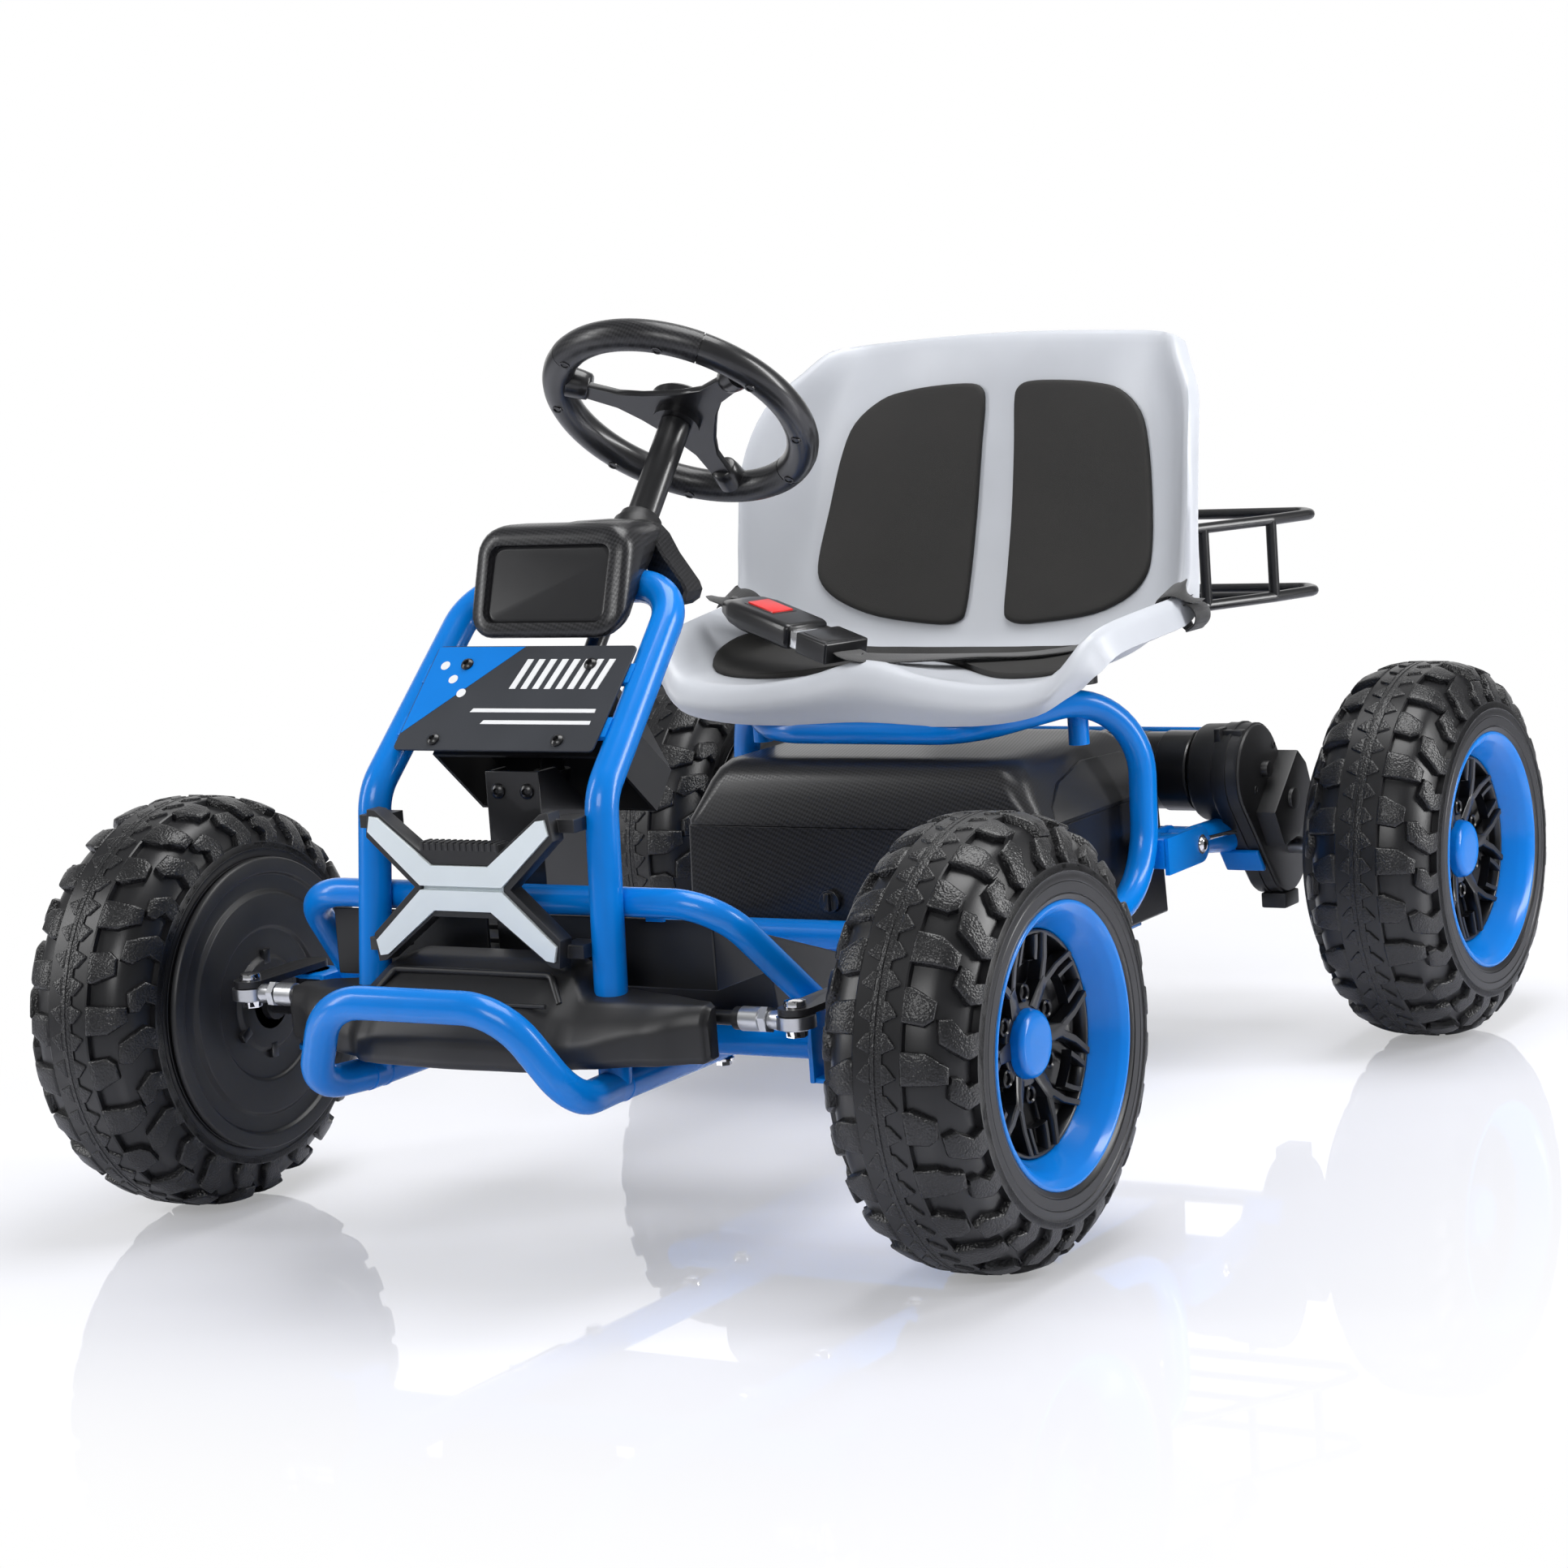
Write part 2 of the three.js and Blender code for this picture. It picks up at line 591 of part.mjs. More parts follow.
// Steering knuckles: sleeve, kingpin, stub axle with its nut, and the steering arm with the ball joint bolt
const nutX = frontHalfTrack + disc.hubX + gap;
const coverFaceX = frontHalfTrack + disc.coverX;
const eye = { radius: 13, height: 10, neck: 9, neckRadius: 4.6, collarRadius: 8, collarLength: 22, rodRadius: 4.6 };
function knuckle(side) {
  const at = (x, y, z) => vec(side * x, y, z);
  const x = steer.kingpinX;
  const armTop = steeringArm.z + steeringArm.thickness;
  const eyeLow = steer.rodZ - eye.height / 2;
  const arm = new THREE.Shape();
  arm.absarc(0, 0, steeringArm.halfWidth, 0, Math.PI);
  arm.absarc(0, -steer.armReach, steeringArm.halfWidth, Math.PI, turn);
  const armPlate = plate(arm, steeringArm.thickness, { curveSegments: 5 })
    .translate(side * x, 0, steeringArm.z + steeringArm.thickness / 2);
  return join(
    cylinder(kingpin.sleeve, at(x, 0, lug.lowZ + lug.thickness + gap), at(x, 0, lug.highZ - gap)),
    cylinder(kingpin.radius, at(x, 0, lug.lowZ - gap - kingpin.radius / 2), at(x, 0, armTop)),
    cylinder(kingpin.sleeve, at(x, 0, lug.lowZ - gap - kingpin.radius), at(x, 0, lug.lowZ - gap), 6),
    cylinder(axle.radius, at(x, 0, spindleZ), at(nutX + axle.nut, 0, spindleZ), stubSides),
    cylinder(axle.nutRadius, at(nutX, 0, spindleZ), at(nutX + axle.nut, 0, spindleZ), 6),
    cylinder(axle.nutRadius, at(coverFaceX - gap - axle.nut, 0, spindleZ), at(coverFaceX - gap, 0, spindleZ), stubSides),
    armPlate,
    cylinder(steeringArm.boltRadius, at(x, -steer.armReach, eyeLow - steeringArm.headHeight), at(x, -steer.armReach, armTop)),
    cylinder(steeringArm.head, at(x, -steer.armReach, armTop - gap), at(x, -steer.armReach, armTop + steeringArm.headHeight), 6),
    cylinder(steeringArm.head, at(x, -steer.armReach, eyeLow - gap - steeringArm.headHeight), at(x, -steer.armReach, eyeLow - gap), 6),
  );
}
add('knuckle_left', knuckle(1), 'darkSteel');
add('knuckle_right', knuckle(-1), 'darkSteel');

// Tie rods: an eye round each steering arm's bolt, a collar, the rod and a wider eye at the lower shaft's pin
const pitman = { pinX: 13, pinRadius: 4, slack: 1.9, eyeRadius: 11, thickness: 5, halfWidth: 24 };
function tieRod(side) {
  const at = (x, dz = 0) => vec(side * x, -steer.armReach, steer.rodZ + dz);
  const outer = steer.kingpinX;
  const half = eye.height / 2;
  const whole = join(
    cylinder(eye.radius, at(outer, -half), at(outer, half), 12),
    cylinder(eye.neckRadius, at(outer - eye.radius - eye.neck - gap), at(outer - eye.radius + gap), 8),
    cylinder(eye.collarRadius, at(outer - eye.radius - eye.neck - eye.collarLength), at(outer - eye.radius - eye.neck), 12),
    cylinder(eye.rodRadius, at(pitman.pinX + pitman.eyeRadius - 1), at(outer - eye.radius - eye.neck - eye.collarLength + gap), 6),
    cylinder(pitman.eyeRadius, at(pitman.pinX, -half), at(pitman.pinX, half), 12),
  );
  const bolt = boreRadius(steeringArm.boltRadius, 12);
  const pin = boreRadius(pitman.pinRadius + pitman.slack, 12);
  return cut(
    whole,
    cylinder(bolt, at(outer, -eye.height), at(outer, eye.height), 12),
    cylinder(pin, at(pitman.pinX, -eye.height), at(pitman.pinX, eye.height), 12),
  );
}
add('tie_rod_left', tieRod(1), 'steel');
add('tie_rod_right', tieRod(-1), 'steel');

// Lower steering shaft: stands on the axle beam, carries the plate with both pins, and ends in a cup
const knee = { ball: 10, cupRadius: 14, cupWall: 3.7, cupDrop: 14, cupRim: 2.5 };
const shaftRadius = 8;
{
  const plateZ = steer.rodZ - eye.height / 2 - gap - pitman.thickness;
  const outline = [
    [-pitman.halfWidth, -steer.armReach - pitman.pinX], [pitman.halfWidth, -steer.armReach - pitman.pinX],
    [pitman.halfWidth, -steer.armReach + pitman.pinX], [shaftRadius * 1.5, shaftRadius], [-shaftRadius * 1.5, shaftRadius],
    [-pitman.halfWidth, -steer.armReach + pitman.pinX],
  ];
  const arm = plate(outline, pitman.thickness).translate(0, 0, plateZ + pitman.thickness / 2);
  const pins = [-1, 1].map((side) => cylinder(
    pitman.pinRadius,
    vec(side * pitman.pinX, -steer.armReach, plateZ),
    vec(side * pitman.pinX, -steer.armReach, steer.rodZ + eye.height),
  ));
  const cupLow = steer.kneeZ - knee.cupDrop;
  const cup = cut(
    cylinder(knee.cupRadius, vec(0, 0, cupLow), vec(0, 0, steer.kneeZ - knee.cupRim), 12),
    cylinder(knee.cupRadius - knee.cupWall, vec(0, 0, cupLow + knee.cupWall), vec(0, 0, steer.kneeZ), 12),
  );
  const stand = cylinder(shaftRadius, vec(0, 0, beam.z + beam.radius + gap), vec(0, 0, cupLow + knee.cupWall / 2), 12);
  add('lower_steering_shaft', join(stand, arm, ...pins, cup), 'darkSteel');
}

// Steering column: from the ball in the cup up to the wheel's hub
const hub = vec(0, steer.hubY, steer.hubZ);
const kneePoint = vec(0, 0, steer.kneeZ);
const columnWay = hub.clone().sub(kneePoint).normalize();
const wheelRing = { radius: 101, tube: 13, hubRadius: 26, hubHeight: 24, spokeWidth: 22, spokeThickness: 9 };
const columnTop = hub.clone().addScaledVector(columnWay, -wheelRing.hubHeight / 2 - gap);
{
  const ball = new THREE.SphereGeometry(knee.ball, 12, 8).translate(0, 0, steer.kneeZ);
  const sleeveStart = kneePoint.clone().addScaledVector(columnWay, hub.distanceTo(kneePoint) * 0.45);
  add('steering_column', join(
    ball,
    cylinder(shaftRadius, kneePoint, columnTop, 12),
    cylinder(tubeRadius, sleeveStart, columnTop, 12),
  ), 'darkSteel');
}

// Steering wheel: a ring and a hub with three spokes, in the plane square to the column
const wheelFrame = new THREE.Group();
wheelFrame.position.copy(hub);
wheelFrame.quaternion.setFromUnitVectors(vec(0, 0, 1), columnWay);
kart.add(wheelFrame);
const spokeAngles = [Math.PI / 2, Math.PI * 7 / 6, -Math.PI / 6];
const spokeEnd = wheelRing.radius - wheelRing.tube * 0.5;
function spoke(angle, extra) {
  const reach = spokeEnd + extra;
  return block(reach, wheelRing.spokeWidth + 2 * extra, wheelRing.spokeThickness + 2 * extra)
    .translate(reach / 2, 0, 0).rotateZ(angle);
}
{
  const ring = new THREE.TorusGeometry(wheelRing.radius, wheelRing.tube, 8, 30);
  const pockets = spokeAngles.map((angle) => spoke(angle, gap));
  add('steering_wheel_rim', cut(ring, ...pockets), 'rubber', wheelFrame);
  const centre = cylinder(
    wheelRing.hubRadius, vec(0, 0, -wheelRing.hubHeight / 2), vec(0, 0, wheelRing.hubHeight / 2), 16,
  );
  add('steering_wheel_hub', join(centre, ...spokeAngles.map((angle) => spoke(angle, 0))), 'black', wheelFrame);
}

// Four corners of a level or sloping rectangle, from its half width and its front and back edges
function ring(halfX, frontY, frontZ, backY, backZ, backHalfX = halfX) {
  return [vec(-halfX, frontY, frontZ), vec(halfX, frontY, frontZ), vec(backHalfX, backY, backZ), vec(-backHalfX, backY, backZ)];
}

// A box section wall between two profiles, open at both ends
function sleeve(sections, wall) {
  const inner = sections.map(([halfX, frontY, backY, z]) => ring(halfX - wall, frontY + wall, z, backY - wall, z));
  const [first, last] = [inner[0], inner.at(-1)];
  const push = (section, dz) => section.map((p) => vec(p.x, p.y, p.z + dz));
  const cutter = loft([push(first, -wall), ...inner.slice(1, -1), push(last, wall)]);
  return cut(loft(sections.map(([halfX, frontY, backY, z]) => ring(halfX, frontY, z, backY, z))), cutter);
}

// The y position of the hoop's slanted legs at a height
function legY(z) {
  return hoop.kneeY + (z - hoop.kneeZ) / (hoop.shoulderZ - hoop.kneeZ) * (hoop.shoulderY - hoop.kneeY);
}

// Cover sizes are measured along the column from its joint
const shroud = {
  wall: 3, lowAlong: -16, midAlong: 20, highAlong: 62, halfX: 80, topHalfX: 45, front: 40, back: -37, topFront: 24, topBack: -26,
  pegRadius: 6, pegAlong: 14, pegOut: 32,
};
// A place beside the steering column: sideways, along the column from the joint, and out from it to the front
const columnOut = vec(0, -columnWay.z, columnWay.y);
function byColumn(x, along, out) {
  return vec(x, 0, steer.kneeZ).addScaledVector(columnWay, along).addScaledVector(columnOut, out);
}
function columnSquare(halfX, along, front, back) {
  return [byColumn(-halfX, along, back), byColumn(halfX, along, back), byColumn(halfX, along, front), byColumn(-halfX, along, front)];
}
// The space over the cover's lower rim
function shroudBlock(extra, reach) {
  return loft([shroud.lowAlong - extra, reach].map((along) => columnSquare(reach, along, reach, -reach)));
}

// Steering post: a box section round the lower shaft, on two cheeks that straddle the axle beam
const post = { halfX: 24, frontY: -53, backY: 27, lowZ: 205, topZ: 364, wall: 3, cheekFront: 6 };
{
  const walls = sleeve([[post.halfX, post.frontY, post.backY, post.lowZ], [post.halfX, post.frontY, post.backY, post.topZ]], post.wall);
  const cheekHeight = post.lowZ + post.wall - beam.z;
  const cheeks = [-1, 1].map((side) => block(post.wall, post.backY - post.cheekFront, cheekHeight)
    .translate(side * (post.halfX - post.wall / 2), (post.backY + post.cheekFront) / 2, beam.z + cheekHeight / 2));
  const seatCut = tube([vec(-webInner(), 0, beam.z), vec(webInner(), 0, beam.z)], beam.radius + gap);
  add('steering_post', cut(join(walls, ...cheeks), seatCut, shroudBlock(gap, post.topZ)), 'black');
}
function webInner() {
  return steer.kingpinX - lug.back;
}

// Post cover: a box round the steering joint, square to the column, narrowing upwards; two pegs meet the hoop legs
{
  const section = (halfX, along, front, back, inset) => columnSquare(halfX - inset, along, front - inset, back + inset);
  const whole = (inset, extra) => loft([
    section(shroud.halfX, shroud.lowAlong - extra, shroud.front, shroud.back, inset),
    section(shroud.halfX, shroud.midAlong, shroud.front, shroud.back, inset),
    section(shroud.topHalfX, shroud.highAlong + extra, shroud.topFront, shroud.topBack, inset),
  ]);
  const pegs = [-1, 1].map((side) => {
    const root = byColumn(side * (shroud.halfX - shroud.wall / 2 - shroud.pegRadius), shroud.pegAlong, shroud.pegOut);
    return cylinder(shroud.pegRadius, root, vec(side * hoop.kneeX, legY(root.z), root.z), 8);
  });
  const tunnel = whole(shroud.wall, shroud.wall);
  add('post_cover', cut(join(cut(whole(0, 0), tunnel), ...pegs.map((peg) => cut(peg, tunnel))), hoopTube(gap)), 'black');
}

// Number plate: blank, on four tabs of the hoop's slanted legs
const slantWay = vec(0, hoop.shoulderY - hoop.kneeY, hoop.shoulderZ - hoop.kneeZ).normalize();
const slantOut = vec(0, -slantWay.z, slantWay.y);
const numberPlate = { z: 407, halfWidth: 90, halfHeight: 49, thickness: 2, corner: 10, screwX: 56, screwUp: 35.5, screwDrop: 4.5, screwRadius: 3 };
function onPlate(x, up, out) {
  const at = vec(x, legY(numberPlate.z), numberPlate.z);
  return at.addScaledVector(slantWay, up).addScaledVector(slantOut, out);
}
function slanted(geometry, x, up, out) {
  geometry.rotateX(Math.atan2(slantWay.z, slantWay.y));
  const at = onPlate(x, up, out);
  return geometry.translate(at.x, at.y, at.z);
}
const plateTab = { length: 14, width: 18, thickness: 7, reach: 4, up: 25 };
const plateOut = tubeRadius + gap + numberPlate.thickness / 2;
const plateScrews = [-1, 1].flatMap((side) => [-1, 1].map((up) => [side * numberPlate.screwX, up * numberPlate.screwUp - numberPlate.screwDrop]));
{
  const sheet = slanted(
    block(2 * numberPlate.halfWidth, 2 * numberPlate.halfHeight, numberPlate.thickness, numberPlate.corner), 0, 0, plateOut,
  );
  const tabs = [-1, 1].flatMap((side) => [-1, 1].map((up) => slanted(
    block(plateTab.length, plateTab.width, plateTab.thickness),
    side * (numberPlate.halfWidth - plateTab.length / 2 + plateTab.reach), up * plateTab.up,
    plateOut - plateTab.thickness / 2,
  )));
  const screws = plateScrews.map(([x, up]) => cylinder(
    2 * numberPlate.screwRadius, onPlate(x, up, plateOut), onPlate(x, up, plateOut + numberPlate.thickness * 2), 8,
  ));
  add('number_plate', cut(join(sheet, ...tabs, ...screws), hoopTube(gap)), 'black');
}

// Headlight: two chevron lenses, one above the other, in a housing with ears on the hoop legs
const lamp = {
  z: 289, frontY: -128, lensDepth: 10, frameFrontY: -126, frameBackY: -111, rim: 5,
  ribHalfX: 35, ribHeight: 12, earZ: 46, earHalfZ: 5, earInner: 74, earOuter: 96,
};
const chevron = [[0, 17], [25.4, 16.7], [71, 51], [78, 52], [80.7, 40.6], [36.6, 1.6], [0, 1.6]];
function chevronShape(grow, sideways) {
  const half = chevron.map(([x, z], i) => [x + (i && i < chevron.length - 1 ? grow * 0.6 : 0), z + (i < 4 ? grow : -grow * 0.9)]);
  const outline = [...half, ...half.slice(1, -1).reverse().map(([x, z]) => [-x, z])];
  return outline.map(([x, z]) => [x, sideways * z]);
}
function chevronBody(grow, upside, frontY, backY) {
  return plate(chevronShape(grow, upside), backY - frontY).rotateX(Math.PI / 2).translate(0, (frontY + backY) / 2, lamp.z);
}
{
  const lenses = [1, -1].map((up) => chevronBody(0, -up, lamp.frontY, lamp.frontY + lamp.lensDepth));
  const bridge = block(2 * chevron[5][0], lamp.lensDepth / 2, 2 * chevron[0][1])
    .translate(0, lamp.frontY + lamp.lensDepth * 0.75, lamp.z);
  add('headlight_lens', join(...lenses, bridge), 'lamp');
  const frames = [1, -1].map((up) => chevronBody(lamp.rim, -up, lamp.frameFrontY, lamp.frameBackY));
  const rib = block(2 * lamp.ribHalfX, lamp.frameBackY - lamp.frameFrontY, lamp.ribHeight)
    .translate(0, (lamp.frameFrontY + lamp.frameBackY) / 2, lamp.z + chevron[0][1] + lamp.rim + lamp.ribHeight / 2 - 1);
  const ears = [-1, 1].flatMap((side) => [-1, 1].map((up) => block(lamp.earOuter - lamp.earInner, 2 * tubeRadius, 2 * lamp.earHalfZ)
    .translate(side * (lamp.earOuter + lamp.earInner) / 2, lamp.frameBackY + tubeRadius - lamp.rim, lamp.z + up * lamp.earZ)));
  const pockets = [1, -1].map((up) => chevronBody(gap, -up, lamp.frontY - lamp.rim, lamp.frontY + lamp.lensDepth + gap));
  pockets.push(block(2 * chevron[5][0] + 2 * gap, lamp.lensDepth + 2 * gap, 2 * chevron[0][1] + 2 * gap)
    .translate(0, lamp.frontY + lamp.lensDepth / 2, lamp.z));
  add('headlight_housing', cut(join(...frames, rib, ...ears), ...pockets, hoopTube(gap)), 'black');
}

// Fascia: a wide cover across the front, wrapped round the hoop legs
const fascia = { wall: 3, backY: -88, lowZ: 162, slotZ: 208, slotHalfX: 34, slotHalfZ: 9 };
{
  const half = [
    [189, [-104, 162], [-104, 198], [-100, 206], 206],
    [101, [-146, 162], [-148, 180], [-127, 210], 214],
    [76, [-160, 162], [-163, 182], [-108, 234], 237],
    [0, [-166, 162], [-170, 184], [-107, 235], 238],
  ];
  const section = (x, [lowY, lowZ], [midY, midZ], [topY, topZ], backZ, inset) => [
    vec(x, lowY + inset, lowZ - inset), vec(x, midY + inset, midZ - inset / 2), vec(x, topY + inset / 2, topZ - inset),
    vec(x, fascia.backY + inset, backZ - inset), vec(x, fascia.backY + inset, lowZ - inset),
  ];
  const whole = (inset) => loft([...half, ...half.slice(0, -1).reverse().map(([x, ...rest]) => [-x, ...rest])]
    .map(([x, ...rest]) => section(x - Math.sign(x) * inset * (Math.abs(x) > 150 ? 1 : 0), ...rest, inset)));
  const slot = block(2 * fascia.slotHalfX, 4 * tubeRadius, 2 * fascia.slotHalfZ)
    .translate(0, (-163 - 113) / 2, fascia.slotZ);
  const shell = cut(whole(0), whole(fascia.wall), slot, hoopTube(gap));
  add('fascia', cut(shell, bumperTube(gap)), 'black');
}

// Footwell: an open tub over the rails with a raised front floor and a notch round the steering post
const tub = {
  halfX: 172, frontY: -60, backY: 190, wall: 3, topZ: 258, backTopZ: 176, floorZ: 158, stepZ: 209, stepFront: 14, stepBack: 25,
  notchX: 28, notchBack: 31,
};
const pedal = { x: -95, y: 46, z: 172, pin: 4, lugX: 24, lug: 4, halfWidth: 20, topHalfWidth: 29, height: 92, thickness: 6, lean: 0.2 };
function profileX(outline, halfX) {
  const shape = new THREE.Shape(outline.map(([y, z]) => new THREE.Vector2(y, z)));
  const geometry = new THREE.ExtrudeGeometry(shape, { depth: 2 * halfX, bevelEnabled: false });
  return geometry.applyMatrix4(new THREE.Matrix4().makeBasis(vec(0, 1, 0), vec(0, 0, 1), vec(1, 0, 0))).translate(-halfX, 0, 0);
}
{
  const { frontY, backY, wall, topZ, backTopZ, floorZ, stepZ, stepFront, stepBack } = tub;
  const outer = profileX([
    [frontY, stepZ - wall], [stepFront, stepZ - wall], [stepBack, floorZ], [backY, floorZ], [backY, backTopZ], [frontY, topZ],
  ], footwellHalf);
  const inner = profileX([
    [frontY + wall, stepZ], [stepFront + wall / 2, stepZ], [stepBack + wall, floorZ + wall], [backY + wall, floorZ + wall],
    [backY + wall, topZ + wall], [frontY + wall, topZ + wall],
  ], footwellHalf - wall);
  const notch = block(2 * tub.notchX, tub.notchBack - frontY + wall, topZ)
    .translate(0, (tub.notchBack + frontY - wall) / 2, (topZ + floorZ) / 2);
  const lugs = [-1, 1].map((side) => block(pedal.lug, 16, 24)
    .translate(pedal.x + side * (pedal.lugX + pedal.lug / 2), pedal.y, floorZ + wall / 2 + 12));
  const bore = cylinder(
    boreRadius(pedal.pin, sides), vec(pedal.x - 2 * pedal.lugX, pedal.y, pedal.z), vec(pedal.x + 2 * pedal.lugX, pedal.y, pedal.z),
  );
  add('footwell', cut(join(cut(outer, inner, notch), ...lugs), bore), 'black');
}

// Accelerator pedal: a plate on a cross pin
{
  const side = pedal.lugX + pedal.lug;
  const face = plate([
    [-pedal.halfWidth, -pedal.pin], [pedal.halfWidth, -pedal.pin], [pedal.topHalfWidth, pedal.height], [-pedal.topHalfWidth, pedal.height],
  ], pedal.thickness).rotateX(Math.PI / 2 - pedal.lean).translate(pedal.x, pedal.y, pedal.z);
  const pin = cylinder(pedal.pin, vec(pedal.x - side, pedal.y, pedal.z), vec(pedal.x + side, pedal.y, pedal.z));
  add('accelerator_pedal', join(face, pin), 'black');
}

// A flat outline in x and z, extruded between two y positions
function profileY(outline, frontY, backY) {
  return plate(outline.map(([x, z]) => [x, -z]), backY - frontY).rotateX(-Math.PI / 2).translate(0, (frontY + backY) / 2, 0);
}

// Dash: a hollow housing over the top of the hoop, with a blank screen in its front face
const dash = {
  lowHalfX: 62.5, lowY: -2, lowZ: 459, topHalfX: 61, topY: 26.6, topZ: 535, backLowHalfX: 55, backLowY: 24,
  backHalfX: 46, backY: 113, backZ: 529.5, wall: 3,
  flangeFront: 90, flangeBack: 102, columnSlack: 3,
};
const flangeHalf = [[50, 528], [60, 511], [79, 484], [70, 470]];
const screen = { halfX: 42, height: 38, thickness: 2, recess: 1.5 };
{
  const { lowHalfX, lowY, lowZ, topHalfX, topY, topZ, backLowHalfX, backLowY, backHalfX, backY, backZ, wall } = dash;
  const outer = loft([
    ring(lowHalfX, lowY, lowZ, backLowY, lowZ, backLowHalfX), ring(topHalfX, topY, topZ, backY, backZ, backHalfX),
  ]);
  const inner = loft([
    ring(lowHalfX - wall, lowY + wall, lowZ - wall, backLowY - wall, lowZ - wall, backLowHalfX - wall),
    ring(topHalfX - wall, topY + wall, topZ - wall, backY - wall, backZ - wall, backHalfX - wall),
  ]);
  const flange = profileY([...flangeHalf, ...flangeHalf.map(([x, z]) => [-x, z]).reverse()], dash.flangeFront, dash.flangeBack);
  const columnCut = cylinder(tubeRadius + dash.columnSlack, kneePoint, hub, 12);
  const slope = Math.atan2(topY - lowY, topZ - lowZ);
  const middle = vec(0, (lowY + topY) / 2, (lowZ + topZ) / 2);
  const inFace = (geometry, out) => geometry.rotateX(Math.PI / 2 - slope)
    .translate(0, middle.y - out * Math.cos(slope), middle.z + out * Math.sin(slope));
  const pocket = inFace(block(2 * screen.halfX + 2 * gap, screen.height + 2 * gap, 2 * screen.recess), 0);
  const glassOut = screen.thickness / 2 - screen.recess + gap;
  add('dash_screen', inFace(block(2 * screen.halfX, screen.height, screen.thickness), glassOut), 'darkSteel');
  add('dash_housing', cut(join(outer, flange), inner, pocket, hoopTube(gap), columnCut), 'black');
}

// Battery box: a tub and its cover, both hollow, on the tray's sheet
const boxSeam = 2;
{
  const { frontY, rearY, baseZ, seamZ, topZ, bottomHalfX, topHalfX, wall } = box;
  const seamHalfX = bottomHalfX - wall;
  const outer = loft([ring(bottomHalfX, frontY, baseZ, rearY, baseZ), ring(seamHalfX, frontY, seamZ, rearY, seamZ)]);
  const inner = loft([
    ring(bottomHalfX - wall, frontY + wall, baseZ + wall, rearY - wall, baseZ + wall),
    ring(seamHalfX - wall, frontY + wall, seamZ + wall, rearY - wall, seamZ + wall),
  ]);
  const latchBore = cylinder(boreRadius(latchPin().radius, 10), latchPin().front, latchPin().back);
  add('battery_box', cut(cut(outer, inner), latchBore, archTube(gap)), 'black');
  const shoulderZ = seamZ + (topZ - seamZ) * 0.6;
  const lid = (inset, drop) => loft([
    ring(seamHalfX + boxSeam - inset, frontY - boxSeam + inset, seamZ + gap - drop, rearY + boxSeam - inset, seamZ + gap - drop),
    ring(topHalfX + wall * 2 - inset, frontY + inset, shoulderZ - inset / 2, rearY - inset, shoulderZ - inset / 2),
    ring(topHalfX - wall - inset, frontY + wall * 3 + inset, topZ - inset, rearY - wall * 3 - inset, topZ - inset),
  ]);
  const padReach = strut.x + strut.halfWidth;
  const pads = [-1, 1].map((side) => block(4 * strut.halfWidth, 2 * strut.halfWidth, topZ - shoulderZ)
    .translate(side * (padReach - 2 * strut.halfWidth), strut.y, (topZ + shoulderZ) / 2));
  add('battery_cover', cut(join(lid(0, 0), ...pads), lid(wall, wall), archTube(gap)), 'black');
}
function latchPin() {
  const radius = 5;
  const latchX = -33;
  const latchZ = box.baseZ + 44;
  return { radius, front: vec(latchX, box.frontY - box.wall, latchZ), back: vec(latchX, box.frontY + 2 * box.wall, latchZ) };
}

// Box latch: a turn knob outside, a shank through the wall and a cam inside
{
  const { radius, front, back } = latchPin();
  const outside = box.frontY - gap;
  const inside = box.frontY + box.wall + gap;
  const at = (y) => vec(front.x, y, front.z);
  const cam = block(2 * radius, box.wall, 4 * radius).translate(front.x, inside + box.wall / 2, front.z + radius);
  const grip = block(radius, 2 * radius, 3 * radius).translate(front.x, outside - radius, front.z);
  add('box_latch', join(
    cylinder(2 * radius, at(outside - radius), at(outside), 12),
    cylinder(radius, at(outside - radius), at(back.y), 10),
    grip,
    cam,
  ), 'darkSteel');
}

// Two linked batteries and the controller stand on the floor of the box
const cell = { x: 151, y: 65, z: 94, apart: 6 };
const controller = { x: 110, y: 60, z: 34, fins: 6 };
{
  const floor = box.baseZ + box.wall + gap;
  const backY = box.rearY - box.wall * 2 - cell.y / 2;
  const frontY = backY - cell.y - cell.apart;
  const cells = [backY, frontY].map((y) => block(cell.x, cell.y, cell.z, cell.apart / 2).translate(0, y, floor + cell.z / 2));
  const link = block(cell.apart, cell.y + cell.apart * 2, cell.apart).translate(cell.x / 3, (frontY + backY) / 2, floor + cell.z);
  add('battery', join(...cells, link), 'black');
  const controllerY = frontY - cell.y / 2 - cell.apart - controller.y / 2;
  const base = block(controller.x, controller.y, controller.z / 2).translate(0, controllerY, floor + controller.z / 4);
  const fins = [...Array(controller.fins).keys()].map((i) => block(controller.x / 20, controller.y, controller.z)
    .translate(controller.x * ((i + 0.5) / controller.fins - 0.5), controllerY, floor + controller.z / 2));
  add('controller', join(base, ...fins), 'steel');
}

